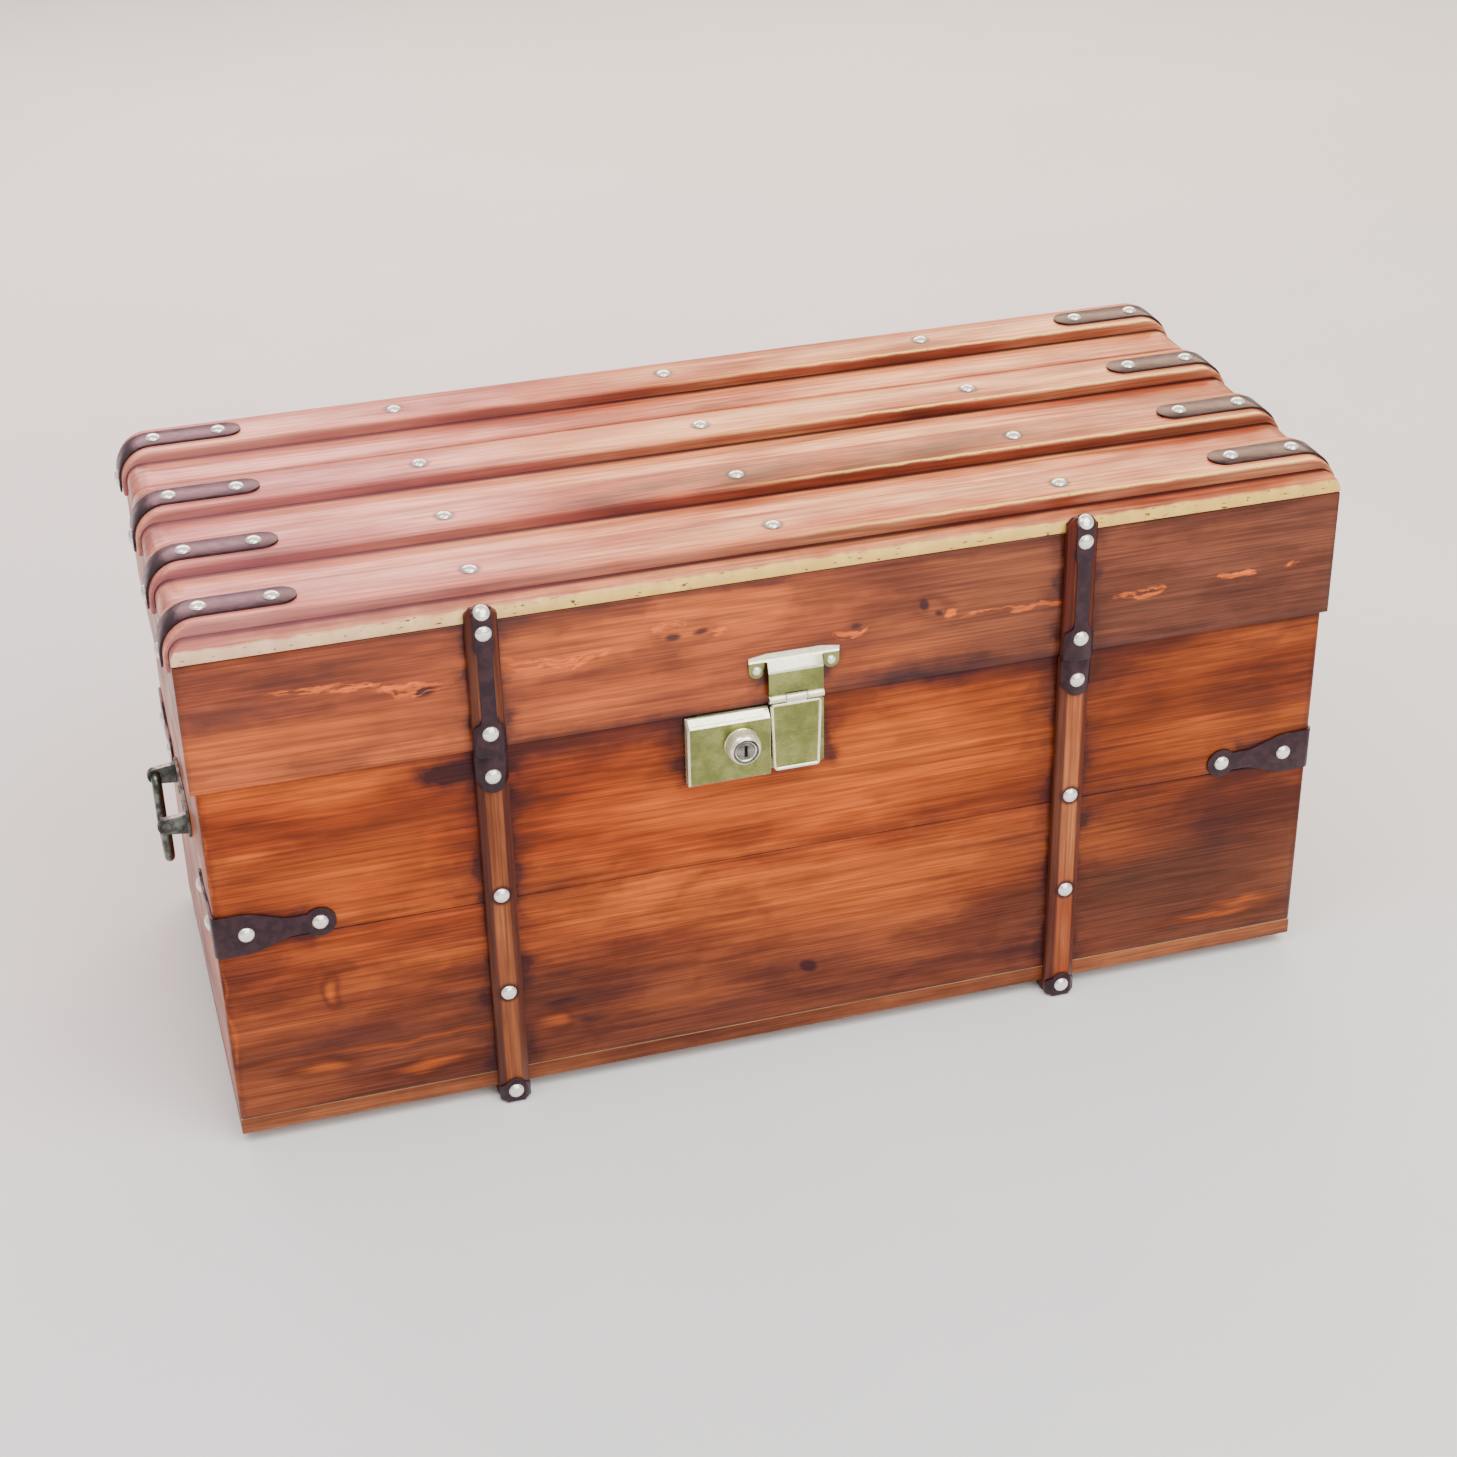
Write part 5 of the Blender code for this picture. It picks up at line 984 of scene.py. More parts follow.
class Tree:
    """Adds shader nodes to one tree and joins them."""

    def __init__(self, tree):
        self.nodes, self.links = tree.nodes, tree.links

    def fill(self, node, inputs):
        for key, value in inputs.items():
            if isinstance(value, Value):
                self.links.new(value.socket, node.inputs[key])
            else:
                node.inputs[key].default_value = value

    def add(self, kind, inputs=None, **settings):
        node = self.nodes.new(kind if kind.startswith("Node") else "ShaderNode" + kind)
        for name, value in settings.items():
            setattr(node, name, value)
        self.fill(node, inputs or {})
        return node

    def value(self, kind, out, inputs=None, **settings):
        return Value(self, self.add(kind, inputs, **settings).outputs[out])

    def outputs(self, node):
        return {socket.name: Value(self, socket) for socket in node.outputs}

    def group(self, name, inputs):
        tree = bpy.data.node_groups.get(name) or shader_group(name)
        return self.outputs(self.add("Group", inputs, node_tree=tree))

    def mix(self, factor, first, second, blend="MIX"):
        return self.value("Mix", 2, {0: factor, 6: first, 7: second}, data_type="RGBA", blend_type=blend)

    def layered(self, body, layers):
        """A colour with others laid over it, each with its share."""
        for share, paint in layers:
            body = self.mix(share, body, paint)
        return body

    def shaded(self, body, value):
        """A colour made darker or paler by a number."""
        return self.mix(1.0, body, self.value("CombineColor", 0, dict.fromkeys(range(3), value)), "MULTIPLY")

    def cover(self, inputs, height, strength, depth):
        """Join what varies to the material's shader, with a bump; gives the material."""
        bump = self.value("Bump", 0, {"Strength": strength, "Distance": depth, "Height": height})
        self.fill(self.shader, {**inputs, "Normal": bump})
        return self.material


def shader_group(name):
    """A new shader group: its named sockets, and the nodes of its recipe."""
    recipe, inputs = GROUPS[name]
    group = bpy.data.node_groups.new(name, "ShaderNodeTree")
    tree = Tree(group)
    for label, value in inputs.items():
        kind = "NodeSocketFloat" if isinstance(value, float) else "NodeSocketVector"
        group.interface.new_socket(label, in_out="INPUT", socket_type=kind).default_value = value
    given = tree.outputs(tree.add("NodeGroupInput"))
    results = recipe(*(given[label] for label in inputs))
    for label in results:
        group.interface.new_socket(label, in_out="OUTPUT", socket_type="NodeSocketFloat")
    tree.add("NodeGroupOutput", results)
    return group


def soft_spot(grain, centre, size, strength):
    """How close a point is to the middle of a stain or knot, from 0 far off to 1, or to a ring round it."""
    apart = (grain - centre) / size
    square = apart.by("DOT_PRODUCT", apart)
    off = (square.by("SQRT") - 1.0) * 2.6
    return {label: (fall * -1.0).by("EXPONENT") * strength
            for label, fall in (("Mask", square), ("Ring", off * off))}


def soft_box(grain, centre, half, reach):
    """How close a point is to a flat box, from 0 far off to 1 inside."""
    past = (abs(grain - centre) - half).by("MAXIMUM", ORIGIN)
    return {"Mask": (past.by("LENGTH") / reach * -1.0).by("EXPONENT")}


def pine_figure(grain, heart, knots, ring_width):
    """Pine figure: growth rings cut by the board's face, fine fibre, and slow changes of tone."""
    moved = grain + heart
    _, across, inward = moved.split()
    slow, wander = (moved * (2.2, 10, 10)).noise(), (moved * (1.1, 2.5, 2.5)).noise(detail=1)
    across = across + (knots * 0.012 + (slow - 0.5) * 0.035)
    inward = inward + (wander - 0.5) * 0.16
    radius = (across ** 2.0 + inward ** 2.0).by("SQRT")
    phase = radius / ring_width + (moved * (3, 120, 120)).noise(detail=1) * 0.8
    return {"Rings": (phase * math.tau).by("SINE").scaled(0.5, 0.5) ** 2.2,
            "Fibre": (moved * (14, 620, 620)).noise(detail=3, roughness=0.6),
            "Tone": (moved * (4.2, 19, 19)).noise(detail=4, roughness=0.58),
            "Streak": (moved * (3.5, 90, 90)).noise()}


def edge_wear(place, rim, width, scale):
    """Where edges are worn or soiled, broken up by noise."""
    reach = rim + (place.noise(scale, 4, 0.6) - 0.5) * 0.9
    return {"Wear": reach.between(1.0 - width, 1.15), "Blotch": place.noise(22.0, 3, 0.55)}


def worn_metal(place, dent_scale, patch_scale):
    """Hand-finished metal: dents, fine scratches and dull patches."""
    return {"Dents": place.noise(dent_scale), "Patch": place.noise(patch_scale, 4, 0.6).between(0.35, 0.68),
            "Scratch": (place * (300, 900, 2600)).noise()}


GROUPS = {
    "soft spot": (soft_spot, {"Grain": ORIGIN, "Centre": ORIGIN, "Size": (0.01, 0.01, 1), "Strength": 1.0}),
    "soft box": (soft_box, {"Grain": ORIGIN, "Centre": ORIGIN, "Half": (1, 1, 1), "Reach": 0.008}),
    "pine figure": (pine_figure, {"Grain": ORIGIN, "Heart": ORIGIN, "Knots": 0.0, "Ring Width": 0.0065}),
    "edge wear": (edge_wear, {"Place": ORIGIN, "Rim": 0.0, "Width": 0.5, "Scale": 60.0}),
    "worn metal": (worn_metal, {"Place": ORIGIN, "Dent Scale": 90.0, "Patch Scale": 130.0}),
}


def new_material(name, inputs):
    """The tree of a Principled material; plain values go on the shader's own sockets."""
    material = bpy.data.materials.new(name)
    material.use_nodes = True
    material.diffuse_color = inputs["Base Color"]
    tree = Tree(material.node_tree)
    tree.nodes.clear()
    tree.material, tree.shader = material, tree.add("BsdfPrincipled", inputs)
    tree.links.new(tree.shader.outputs[0], tree.add("OutputMaterial").inputs[0])
    return tree


def paint(name):
    """A colour of the trunk's finishes."""
    return (*getattr(bpy.context.scene.trunk_colours, name), 1)


# Marks on the front, in millimetres: x, z, half sizes along and across the grain; then strength
KNOTS = (
    (-233, 277, 13, 5.5, 1.0), (-250, 347, 8, 4, 1.0), (-205, 356, 4, 2.4, 0.9), (-169, 354, 5, 2.2, 0.9),
    (-134, 353, 4, 2, 0.8), (-79, 361, 6, 4, 0.9), (-62, 363, 7, 4, 0.8), (50, 343, 5, 3, 0.8),
    (97, 351, 6, 5, 1.0), (110, 345, 5, 3, 0.8), (15, 64, 8, 6, 1.2), (-175, 75, 20, 5, 0.8),
    (-150, 55, 22, 6, 0.7),
)
EYES = (
    (-339, 118, 7, 13, 0.9), (-352, 53, 22, 7, 0.8), (-274, 40, 36, 7, 0.9), (-180, 56, 12, 9, 0.7),
    (-70, 362, 19, 8, 0.7), (104, 349, 15, 8, 0.7), (350, 44, 45, 8, 0.6), (330, 43, 20, 4, 0.6),
    (-262, 278, 22, 13, 0.5),
)
STAINS_AND_SEAM_SHADOW = (
    # The first four lie along the seam: painted shadow under the lid's lower edge; the rest are stains
    (-164, 287, 85, 15, 1.0), (-71, 286, 40, 10, 0.6), (83, 299, 60, 12, 1.0), (205, 294, 100, 12, 0.9),
    (-396, 351, 45, 13, 0.9), (-329, 74, 45, 14, 0.6), (-150, 75, 60, 10, 0.7), (8, 66, 70, 9, 0.6),
    (167, 45, 70, 10, 0.6), (336, 120, 14, 24, 0.6), (-244, 277, 26, 10.5, 1.3), (-300, 40, 90, 16, 0.35),
    (0, 395, 300, 8, 0.5), (-10, 40, 300, 12, 0.4), (-279, 250, 35, 10, 0.35),
)
PALE_PATCHES_AND_HIGHLIGHTS = (
    (-340, 325, 75, 14, 0.8), (-365, 290, 50, 6, 0.5), (-279, 241, 30, 16, 0.3), (-66, 224, 70, 26, 0.8),
    (84, 221, 100, 22, 0.8), (-352, 53, 16, 4, 0.9), (-274, 40, 28, 4.5, 1.0), (-180, 56, 10, 5, 0.5),
    (342, 40, 34, 3, 0.8), (368, 48, 22, 3, 0.8), (300, 215, 60, 22, 0.4), (-330, 210, 60, 22, 0.6),
    # The thin line just above the lid's foot and the two upright lines at x -409 are painted highlights on
    # rounded edges; the rest are paler patches of the wood
    (100, 120, 120, 20, 0.4), (-339, 118, 4, 8, 0.7), (-340, 1000 * LID_FOOT + 1.2, 110, 1.4, 0.9),
    (-409, 220, 1.6, 45, 0.9), (-409, 100, 1.6, 50, 0.7), (-290, 65, 90, 2, 0.5), (-120, 330, 60, 10, 0.3),
    (60, 320, 50, 8, 0.3),
)
FLECKS = (
    (-336, 362, 18, 3, 1.0), (-300, 357, 18, 3.4, 1.0), (-262, 350, 24, 3.6, 1.2), (-189, 356, 22, 3.8, 1.3),
    (-150, 354, 24, 3.8, 1.2), (-85, 368, 13, 3, 0.8), (-52, 358, 13, 3, 0.9), (45, 342, 10, 3.4, 1.0),
    (115, 346, 8, 3.4, 0.8), (172, 340, 36, 2.6, 1.2), (263, 334, 16, 3.6, 1.2), (341, 338, 8, 3, 1.0),
    (381, 338, 8, 3, 0.9),
)
# Irons, battens and lock that grime and painted shadow gather round: x, z and half sizes in millimetres
LINED = ((-214, 200, 10, 300), (214, 200, 10, 300), (-395, 179.3, 48, 10), (395, 179.3, 48, 10),
         (-25, 267, 51, 25), (3.5, 318, 26, 8), (3.5, 268, 19, 25))
FRONT_GRAIN, MARK_DEPTH = -0.167, 0.012


def marks(grain, places, kind="Mask"):
    """The sum of several soft spots on the front."""
    masks = [grain.tree.group("soft spot", {
        "Grain": grain, "Centre": (x / 1000, z / 1000, FRONT_GRAIN),
        "Size": (half_x / 1000, half_z / 1000, MARK_DEPTH), "Strength": strength})[kind]
        for x, z, half_x, half_z, strength in places]
    return sum(masks[1:], masks[0])


def dirt_and_shadow(grain):
    """Dark halo round the irons, the battens and the lock: grime and painted shadow."""
    masks = [grain.tree.group("soft box", {"Grain": grain, "Centre": (x / 1000, z / 1000, 0),
                                           "Half": (half_x / 1000, half_z / 1000, 9)})["Mask"]
             for x, z, half_x, half_z in LINED]
    total = masks[0]
    for mask in masks[1:]:
        total = total.by("MAXIMUM", mask)
    return total


def curly_flecks(grain):
    """Short bright curls in the grain, along the line that the knots stand on."""
    curls = (grain * (60, 300, 1)).noise(distortion=0.6)
    return marks(grain, FLECKS).between(0.20, 0.55) * curls.between(0.38, 0.52)


def darker_right_and_foot(raw, grain):
    """A shade that takes the front darker towards its right end and its foot."""
    along, across, _ = grain.split()
    drift = ((raw * (3, 14, 1)).noise() - 0.5) * 0.35
    right = (along + across.scaled(0.45, -0.085) + drift).between(0.02, 0.24, 1.0, 0.50)
    return right * drift.scaled(0.3, across).between(0.05, 0.20, 0.62, 1.0)


def own_places(tree):
    """A wooden piece's own attributes: place in the grain, offset from the tree's heart, and rim."""
    return [tree.value("Attribute", out, attribute_name=name)
            for name, out in (("grain", "Vector"), ("heart", "Vector"), ("rim", "Fac"))]


# Pink end of the painted edge highlight
PINK_HIGHLIGHT = (1.0, 0.66, 0.54, 1)
RAW_PALE, RAW_RING, RAW_DIRT = (0.66, 0.43, 0.22, 1), (0.34, 0.16, 0.06, 1), (0.20, 0.10, 0.05, 1)


def pine(name, middle="pine_mid", bright="pine_bright", marked=False, glare=(0.04, 0.14), gloss=0.12,
         rings=0.4, nails=(), rim_wear=0.35, slat_shadows=(), rubbed=None, shaded_sides=0, sheen=(1, 1, 1)):
    """Stained and varnished pine: figure, a tone darker towards the front's right end and foot, knots, grime
    and painted shadow round nails, irons and the seam, painted highlights along rounded edges.
    """
    middle, bright, deep, stain, dull = map(paint, (middle, bright, "pine_deep", "stain", "dull"))
    tree = new_material(name, {"Base Color": middle, "Coat Roughness": 0.12, "Specular IOR Level": gloss,
                               "Specular Tint": (*sheen, 1)})
    raw, heart, rim = own_places(tree)
    along, across, inward = raw.split()
    grain = raw + (raw.noise(42.0, 3, out="Color") - MID_GREY) * (0.050, 0.018, 0)
    gentle = raw + (raw.noise(24.0, 1, out="Color") - MID_GREY) * (0.030, 0.016, 0)
    knots = marks(gentle, KNOTS) if marked else 0.0
    figure = tree.group("pine figure", {"Grain": raw, "Heart": heart, "Knots": knots})
    tone, fibre = figure["Tone"], figure["Fibre"]
    body = tree.mix(tone.between(0.40, 0.66), middle, bright)
    body = tree.mix(tone.between(0.26, 0.46, 0.8, 0.0), body, deep)
    coat = fibre.scaled(0.5, tone * 0.5).between(0.42, 0.60, *glare)
    if marked:
        on_lid = across.between(SEAM, SEAM + 0.004)
        coat = coat + on_lid * along.between(-0.05, 0.22, 0.32, 0.10)
        cloud = (grain * (9, 24, 24)).noise(detail=3)
        body = tree.layered(tree.shaded(body, darker_right_and_foot(raw, grain)), (
            (across.between(0.04, 0.20, 0.40, 0.0), dull),
            (on_lid * along.between(0.0, 0.18, 0.22, 0.50), dull),
            (cloud.between(0.36, 0.56, 0.55, 0.0), deep),
            # Paler patches, and painted highlights on rounded edges
            (marks(gentle, PALE_PATCHES_AND_HIGHLIGHTS).share(0.8), bright),
            # Stains, and painted shadow along the seam
            (marks(grain, STAINS_AND_SEAM_SHADOW).share(0.85), stain),
            (marks(gentle, EYES, "Ring").share(0.55), deep),
            (knots.between(0.25, 0.8) * 0.92, stain),
            (curly_flecks(grain) * 0.8, paint("fleck")),
            # Grime and painted shadow round the irons, battens and lock
            (dirt_and_shadow(grain) * 0.85, stain)))
    body = tree.mix(figure["Rings"] * rings, body, tree.mix(0.6, body, deep))
    body = tree.shaded(body, fibre.between(0.32, 0.7, 0.70, 1.22))
    body = tree.mix(figure["Streak"].between(0.30, 0.42, 0.40, 0.0), body, deep)
    # Dark ring round each nail: grime and painted shadow
    for place in nails:
        ringed = tree.group("soft spot", {"Grain": raw, "Centre": (place, 0, 0), "Size": (0.009, 0.009, 1)})
        body = tree.mix(ringed["Mask"].between(0.30, 0.62, 0.0, 0.9), body, stain)
    if shaded_sides:
        sides = abs(across).between(shaded_sides - 0.0015, shaded_sides + 0.0005, 0.0, 0.74)
        body = tree.mix(sides, body, stain)
    for line in slat_shadows:
        shade = abs(across - line).between(0.0240, 0.0285, 0.97, 0.0)
        body, coat = tree.mix(shade, body, stain), coat * (1.0 - shade)
    # Painted highlight along a rounded edge: a pale band, pink towards the left end, with dark pits
    if rubbed:
        highlight_line, half = rubbed
        # Painted reflection: the left part tinted pink, as by the pink light behind
        body = tree.mix(along.between(-0.42, 0.05, 0.75, 0.0), body, tree.mix(0.40, body, paint("blush")))
        uneven = (raw.noise(60.0) - 0.5) * 0.0025
        bare = abs(across + uneven - highlight_line).between(half, half + 0.0014, 0.92, 0.0)
        if shaded_sides:
            bare = bare * (along.between(-0.05, 0.15) * inward.between(0.0066, 0.0078))
        pits = (raw * (170, 560, 560)).noise().between(0.28, 0.35)
        pale = tree.mix(along.between(-0.40, -0.10, 0.7, 0.0), paint("rubbed"), PINK_HIGHLIGHT)
        body = tree.layered(body, ((bare, pale), (bare * (1.0 - pits), deep)))
    wear = tree.group("edge wear", {"Place": raw, "Rim": rim, "Width": 0.45})
    body = tree.mix(wear["Wear"] * rim_wear, body, stain)
    rough, height = wear["Blotch"].between(0.3, 0.7, 0.28, 0.44), fibre * 0.5 + figure["Rings"] * 0.35
    return tree.cover({"Base Color": body, "Roughness": rough, "Coat Weight": coat},
                      height + wear["Blotch"] * 2.0, 0.35, 0.0006)


def bare_pine(name):
    """Unvarnished pine inside the trunk."""
    base = paint("pine_raw")
    tree = new_material(name, {"Base Color": base, "Roughness": 0.7})
    raw, heart, rim = own_places(tree)
    figure = tree.group("pine figure", {"Grain": raw, "Heart": heart})
    wear = tree.group("edge wear", {"Place": raw, "Rim": rim, "Width": 0.6})
    fibre, rings = figure["Fibre"], figure["Rings"]
    body = tree.layered(base, ((figure["Tone"].between(0.3, 0.7), RAW_PALE), (rings * 0.45, RAW_RING),
                               (wear["Wear"] * 0.4, RAW_DIRT)))
    return tree.cover({"Base Color": tree.shaded(body, fibre.between(0.3, 0.7, 0.85, 1.1)),
                       "Roughness": fibre.between(0.3, 0.7, 0.6, 0.8)}, fibre + rings * 0.4, 0.4, 0.0005)


def metal(name, base, dull, rough, metallic=(1.0, 0.6), dent_scale=90.0, dent=0.0006, coat=0.0,
          patch_share=1.0, patch_scale=130.0, sheen=(1, 1, 1)):
    """Metal with a worn or tarnished second colour in patches, scratches and shallow dents."""
    base = paint(base)
    tree = new_material(name, {"Base Color": base, "Metallic": metallic[0], "Coat Weight": coat,
                               "Coat Roughness": 0.2, "Specular Tint": (*sheen, 1)})
    worn = tree.group("worn metal", {"Place": tree.value("TexCoord", "Object"), "Dent Scale": dent_scale,
                                     "Patch Scale": patch_scale})
    patch, scratch = worn["Patch"] * patch_share, worn["Scratch"]
    body = tree.shaded(tree.mix(patch, base, paint(dull)), scratch.between(0.35, 0.7, 0.85, 1.12))
    return tree.cover({"Base Color": body, "Roughness": patch.between(0, 1, *rough),
                       "Metallic": patch.between(0, 1, *metallic)}, worn["Dents"] + scratch * 0.06, 0.6, dent)


def studio_floor(name):
    """Plain pale floor with a faint unevenness."""
    base = paint("floor")
    tree = new_material(name, {"Base Color": base, "Roughness": 0.9})
    pale = tree.value("TexCoord", "Object").noise(3.0, 3).between(0.3, 0.7, 0.97, 1.0)
    tree.fill(tree.shader, {"Base Color": tree.shaded(base, pale)})
    return tree.material


SLAT_LINES = [centre_of(f"lid_slat_{number}").y for number in SLAT_NUMBERS]
# Lighter colours for the lid's top and slats: painted light from behind
LID_TONES = dict(middle="top_mid", bright="top_bright", glare=(0.0, 0.45), gloss=0.22, sheen=(1.0, 0.60, 0.42))
BATTEN_TONES = dict(bright="batten_bright", nails=BASE_BATTEN_NAILS + BACK_LID_BATTEN_NAILS, rim_wear=0.15,
                    shaded_sides=BATTEN_FLAT / 2)
FINISHES = {
    "front pine": (pine, dict(marked=True)),
    "back pine": (pine, {}),
    "foot pine": (pine, dict(middle="batten_mid", bright="batten_bright", rings=0.3)),
    "top pine": (pine, dict(LID_TONES, slat_shadows=SLAT_LINES, rubbed=(LID_FRONT, 0.0016))),
    "slat pine": (pine, dict(LID_TONES, nails=SLAT_NAILS, rim_wear=0.1, shaded_sides=SLAT_WIDTH / 2,
                             rubbed=(0.0022 - SLAT_WIDTH / 2, 0.0006))),
    "batten pine": (pine, dict(BATTEN_TONES, middle="batten_mid")),
    "red batten pine": (pine, BATTEN_TONES),
    "bare pine": (bare_pine, {}),
    "black iron": (metal, dict(base="iron", dull="iron_worn", rough=(0.30, 0.42), metallic=(0.35, 0.2),
                               coat=0.06, sheen=(1.0, 0.72, 0.85))),
    "nickel nail": (metal, dict(base="nickel", dull="nickel_worn", rough=(0.16, 0.28), metallic=(0.6, 0.6),
                                dent_scale=300.0, dent=0.0002, patch_share=0.3)),
    "lock brass": (metal, dict(base="brass", dull="tarnish", rough=(0.22, 0.36), metallic=(1.0, 0.9),
                               dent_scale=70.0, dent=0.0004, patch_share=0.85, patch_scale=60.0)),
    # Paler brass for painted highlights
    "rubbed brass": (metal, dict(base="brass_bright", dull="brass", rough=(0.20, 0.32), metallic=(0.65, 0.75),
                                 dent=0.0002, patch_share=0.25, patch_scale=60.0)),
    "handle iron": (metal, dict(base="steel", dull="steel_worn", rough=(0.3, 0.5))),
    "worn steel": (metal, dict(base="screw", dull="screw_worn", rough=(0.32, 0.5),
                               dent_scale=200.0, dent=0.0003)),
    "studio floor": (studio_floor, {}),
}


def finish(name):
    """The material of that name, made when it is first asked for."""
    make, settings = FINISHES[name]
    return bpy.data.materials.get(name) or make(name, **settings)


# Lights: name, place, aim, width, height, power, tint
WHITE, TRUNK_MIDDLE = (1, 1, 1), (0, 0, 0.25)
LIGHTS = (
    ("sky behind left", (-0.5, 2.7, 1.9), (-0.2, 0, 0.4), 1.9, 1.5, 72, (1.0, 0.60, 0.62)),
    ("sky behind right", (1.6, 2.6, 1.9), (0.2, 0, 0.4), 2.2, 1.5, 72, (1.0, 0.76, 0.44)),
    ("front window", (0.6, -3.1, 1.50), TRUNK_MIDDLE, 3.0, 2.0, 70, (1.0, 0.97, 0.92)),
    ("overhead", (0.75, -1.45, 2.5), TRUNK_MIDDLE, 2.2, 1.6, 62, WHITE),
    ("high left", (-1.0, -0.5, 2.5), TRUNK_MIDDLE, 1.2, 1.2, 30, (1.0, 0.93, 0.90)),
)
# The photograph's camera, solved from the nail heads: millimetres, metres and degrees
LENS, CAMERA_PLACE, CAMERA_TURN = 65.3, (-0.48011, -1.70387, 1.20281), (59.9526, 1.0977, -16.4824)


def area_light(name, place, aim, width, height, power, tint):
    light = bpy.data.lights.new(name, "AREA")
    light.shape = "RECTANGLE"
    light.size, light.size_y, light.energy, light.color = width, height, power, tint
    lamp = linked(name, light)
    lamp.location = place
    lamp.rotation_euler = (Vector(aim) - Vector(place)).to_track_quat("-Z", "Y").to_euler()


def build_stage():
    """Floor, pale surroundings, soft lights and the camera."""
    scene = bpy.context.scene
    bm = bmesh.new()
    bmesh.ops.create_grid(bm, x_segments=4, y_segments=4, size=20)
    floor = add_mesh("studio_floor", bm, ["studio floor"])
    scene.world = bpy.data.worlds.new("studio")
    scene.world.use_nodes = True
    tree = Tree(scene.world.node_tree)
    rise = tree.value("TexCoord", "Generated").split()[2]
    tree.fill(tree.nodes["Background"], {0: (1, 1, 1, 1), 1: rise.between(0.0, 0.55, 0.40, 0.75)})
    for light in LIGHTS:
        area_light(*light)
    lens = bpy.data.cameras.new("camera")
    lens.lens, lens.sensor_width = LENS, 36
    scene.camera = linked("camera", lens)
    scene.camera.location = CAMERA_PLACE
    scene.camera.rotation_euler = [math.radians(angle) for angle in CAMERA_TURN]


def wear_finish(node, name):
    """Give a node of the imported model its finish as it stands."""
    slots = frame["nodes"][node].data.materials
    slots.clear()
    slots.append(finish(name))


SIDES = (("left", -1), ("right", 1))


class TRUNK_OT_stage(bpy.types.Operator):
    """Set the floor, the soft lights and the camera"""
    bl_idname = "trunk.stage"
    bl_label = "Stage"

    def execute(self, context):
        build_stage()
        return {"FINISHED"}


class TRUNK_OT_boards(bpy.types.Operator):
    """Build the planks of the base and the lid"""
    bl_idname = "trunk.boards"
    bl_label = "Boards"

    def execute(self, context):
        for entry in BOARDS:
            board(*entry)
        return {"FINISHED"}


class TRUNK_OT_slats(bpy.types.Operator):
    """Build the four bent slats over the lid"""
    bl_idname = "trunk.slats"
    bl_label = "Slats"

    def execute(self, context):
        for number in SLAT_NUMBERS:
            slat(number)
        return {"FINISHED"}


class TRUNK_OT_slat_irons(bpy.types.Operator):
    """Build the nailed irons on the slats' ends"""
    bl_idname = "trunk.slat_irons"
    bl_label = "Slat irons"

    def execute(self, context):
        for number in SLAT_NUMBERS:
            strap(f"slat_strap_right_{number}", 0)
            strap(f"slat_strap_left_{number}", 180)
        return {"FINISHED"}


class TRUNK_OT_battens(bpy.types.Operator):
    """Build the upright battens, front and back, and the runners they stand on"""
    bl_idname = "trunk.battens"
    bl_label = "Battens"

    def execute(self, context):
        rear = {"wood": BASE_BACK + FIT, "back": True}
        for index, (side, _) in enumerate(SIDES):
            tone = {"timber": "red batten pine" if side == "right" else "batten pine"}
            batten(f"lid_front_batten_{side}", LID_FRONT - FIT, rounded=True,
                   heart=(0.9 + index, 0.03, 0.06), **tone)
            batten(f"base_front_batten_{side}", BASE_FRONT - FIT, nails=BASE_BATTEN_NAILS,
                   heart=(3.1 + index, 0.05, 0.05), **tone)
            batten(f"lid_back_batten_{side}", **rear, rounded=True, nails=BACK_LID_BATTEN_NAILS,
                   heart=(5.2 + index, 0.04, 0.07))
            batten(f"base_back_batten_{side}", **rear, nails=BASE_BATTEN_NAILS,
                   heart=(7.4 + index, 0.06, 0.04))
            runner(f"bottom_runner_{side}")
        return {"FINISHED"}


class TRUNK_OT_batten_irons(bpy.types.Operator):
    """Build the irons on the front battens"""
    bl_idname = "trunk.batten_irons"
    bl_label = "Batten irons"

    def execute(self, context):
        for side, _ in SIDES:
            lid_iron(f"lid_batten_iron_{side}")
            seam_cap(f"batten_seam_cap_{side}")
            foot_cap(f"batten_foot_cap_{side}")
        return {"FINISHED"}


class TRUNK_OT_corner_bands(bpy.types.Operator):
    """Build the bands round the base's corners"""
    bl_idname = "trunk.corner_bands"
    bl_label = "Corner bands"

    def execute(self, context):
        for entry in BAND_CORNERS:
            corner_band(*entry)
        return {"FINISHED"}


class TRUNK_OT_lock(bpy.types.Operator):
    """Build the lock's plate, case and barrel, and give the imported plug and bolt their finish"""
    bl_idname = "trunk.lock"
    bl_label = "Lock"

    def execute(self, context):
        lock_plate()
        lock_case()
        lock_barrel()
        wear_finish("key_plug", "worn steel")
        wear_finish("lock_bolt", "worn steel")
        return {"FINISHED"}


class TRUNK_OT_hasp(bpy.types.Operator):
    """Build the hasp and the plate it hangs from"""
    bl_idname = "trunk.hasp"
    bl_label = "Hasp"

    def execute(self, context):
        hasp()
        hinge_plate()
        return {"FINISHED"}


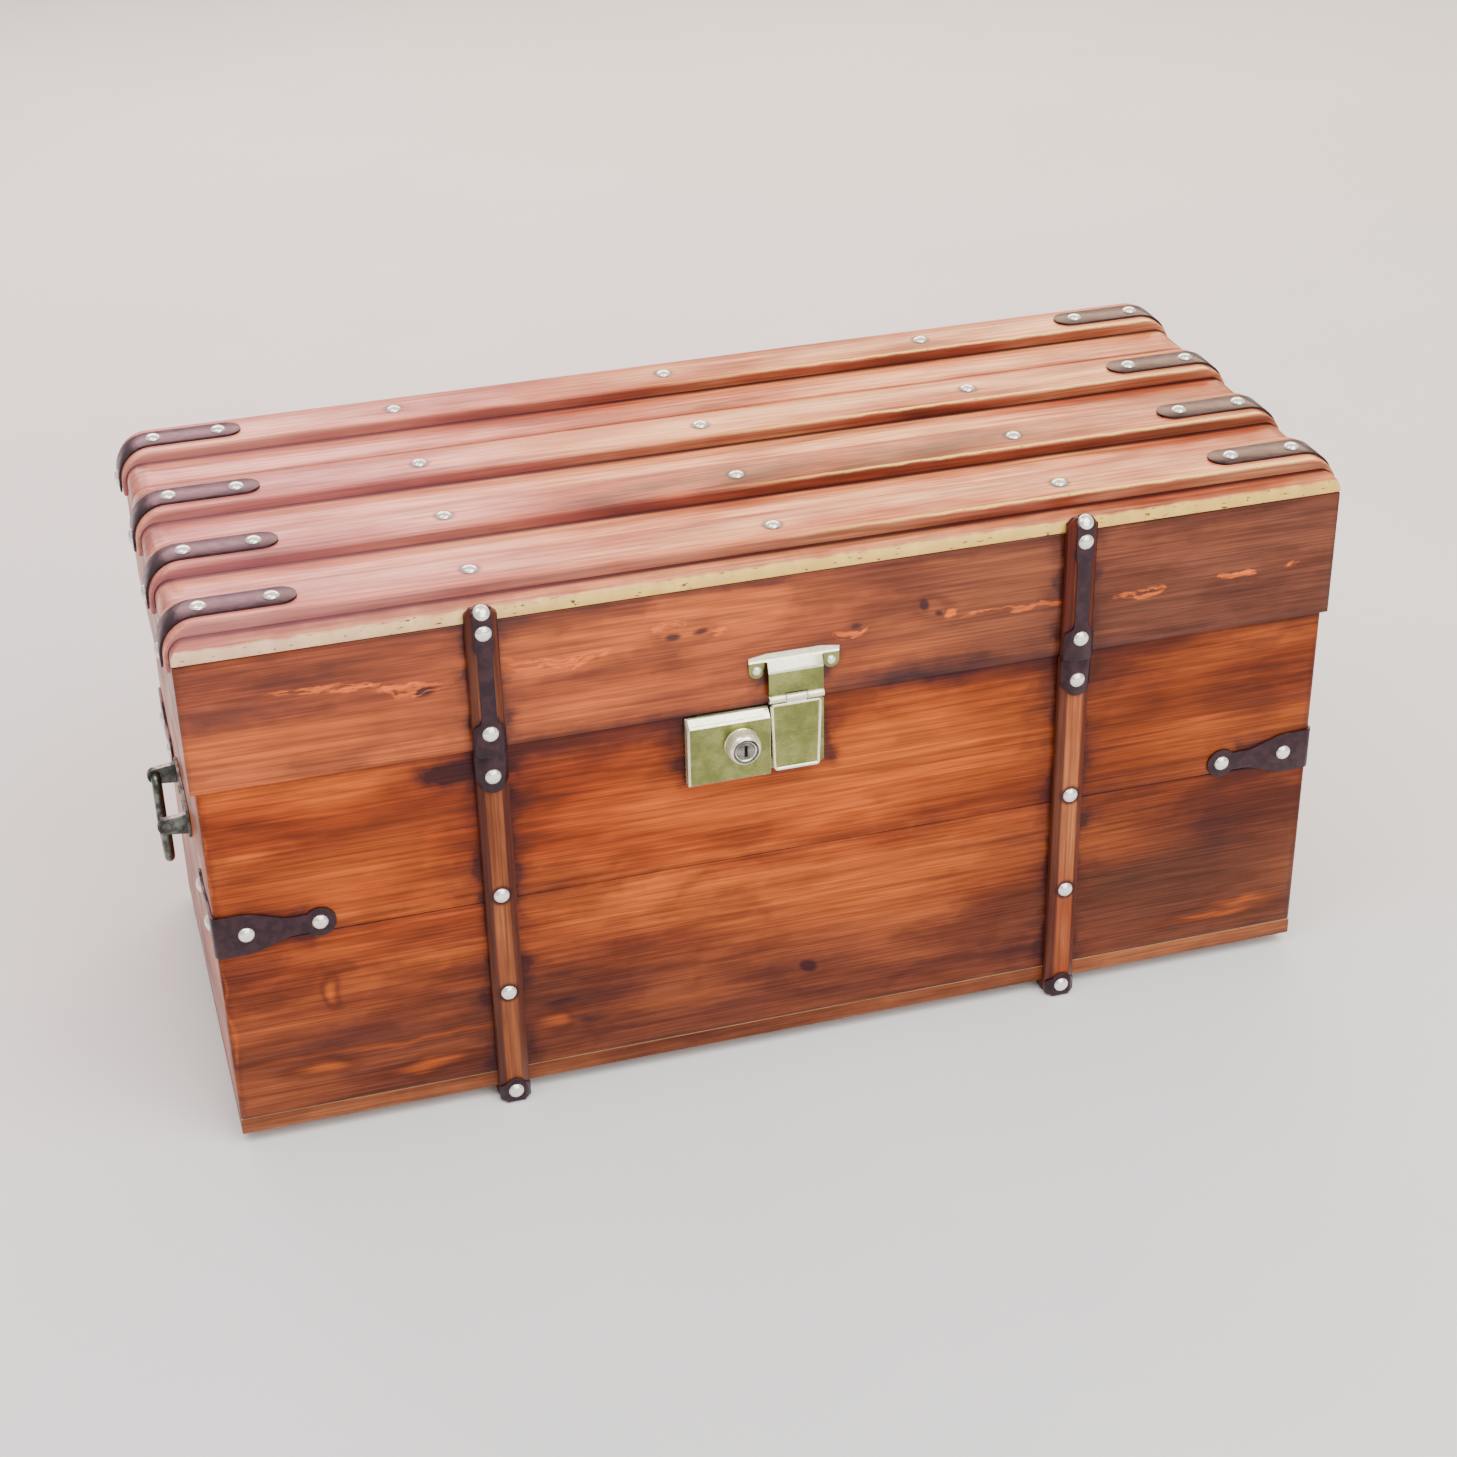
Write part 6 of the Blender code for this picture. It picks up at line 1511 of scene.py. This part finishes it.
class TRUNK_OT_rear_hinges(bpy.types.Operator):
    """Build the leaves of the rear hinges"""
    bl_idname = "trunk.rear_hinges"
    bl_label = "Rear hinges"

    def execute(self, context):
        for side, _ in SIDES:
            hinge_leaf(f"hinge_lid_leaf_{side}", 1)
            hinge_leaf(f"hinge_base_leaf_{side}", -1)
        return {"FINISHED"}


class TRUNK_OT_handles(bpy.types.Operator):
    """Build the drop handles and their brackets"""
    bl_idname = "trunk.handles"
    bl_label = "Handles"

    def execute(self, context):
        for side, sign in SIDES:
            bail(side)
            bracket(side, sign)
        return {"FINISHED"}


STEPS = (TRUNK_OT_stage, TRUNK_OT_boards, TRUNK_OT_slats, TRUNK_OT_slat_irons, TRUNK_OT_battens,
         TRUNK_OT_batten_irons, TRUNK_OT_corner_bands, TRUNK_OT_lock, TRUNK_OT_hasp, TRUNK_OT_rear_hinges,
         TRUNK_OT_handles)


class TRUNK_PT_build(bpy.types.Panel):
    """Lists the trunk's sizes, colours and building steps"""
    bl_idname = "TRUNK_PT_build"
    bl_label = "Travel Trunk"
    bl_space_type = "VIEW_3D"
    bl_region_type = "UI"
    bl_category = "Trunk"

    def draw(self, context):
        for values in (context.scene.trunk_sizes, context.scene.trunk_colours):
            for name in values.__annotations__:
                self.layout.prop(values, name)
        for step in STEPS:
            self.layout.operator(step.bl_idname)


CLASSES = (TrunkSizes, TrunkColours, *STEPS, TRUNK_PT_build)


def register():
    for kind in CLASSES:
        bpy.utils.register_class(kind)
    bpy.types.Scene.trunk_sizes = PointerProperty(type=TrunkSizes)
    bpy.types.Scene.trunk_colours = PointerProperty(type=TrunkColours)


def unregister():
    del bpy.types.Scene.trunk_colours
    del bpy.types.Scene.trunk_sizes
    for kind in reversed(CLASSES):
        bpy.utils.unregister_class(kind)


def main():
    register()
    bpy.ops.trunk.stage()
    bpy.ops.trunk.boards()
    bpy.ops.trunk.slats()
    bpy.ops.trunk.slat_irons()
    bpy.ops.trunk.battens()
    bpy.ops.trunk.batten_irons()
    bpy.ops.trunk.corner_bands()
    bpy.ops.trunk.lock()
    bpy.ops.trunk.hasp()
    bpy.ops.trunk.rear_hinges()
    bpy.ops.trunk.handles()


if __name__ == "__main__":
    main()
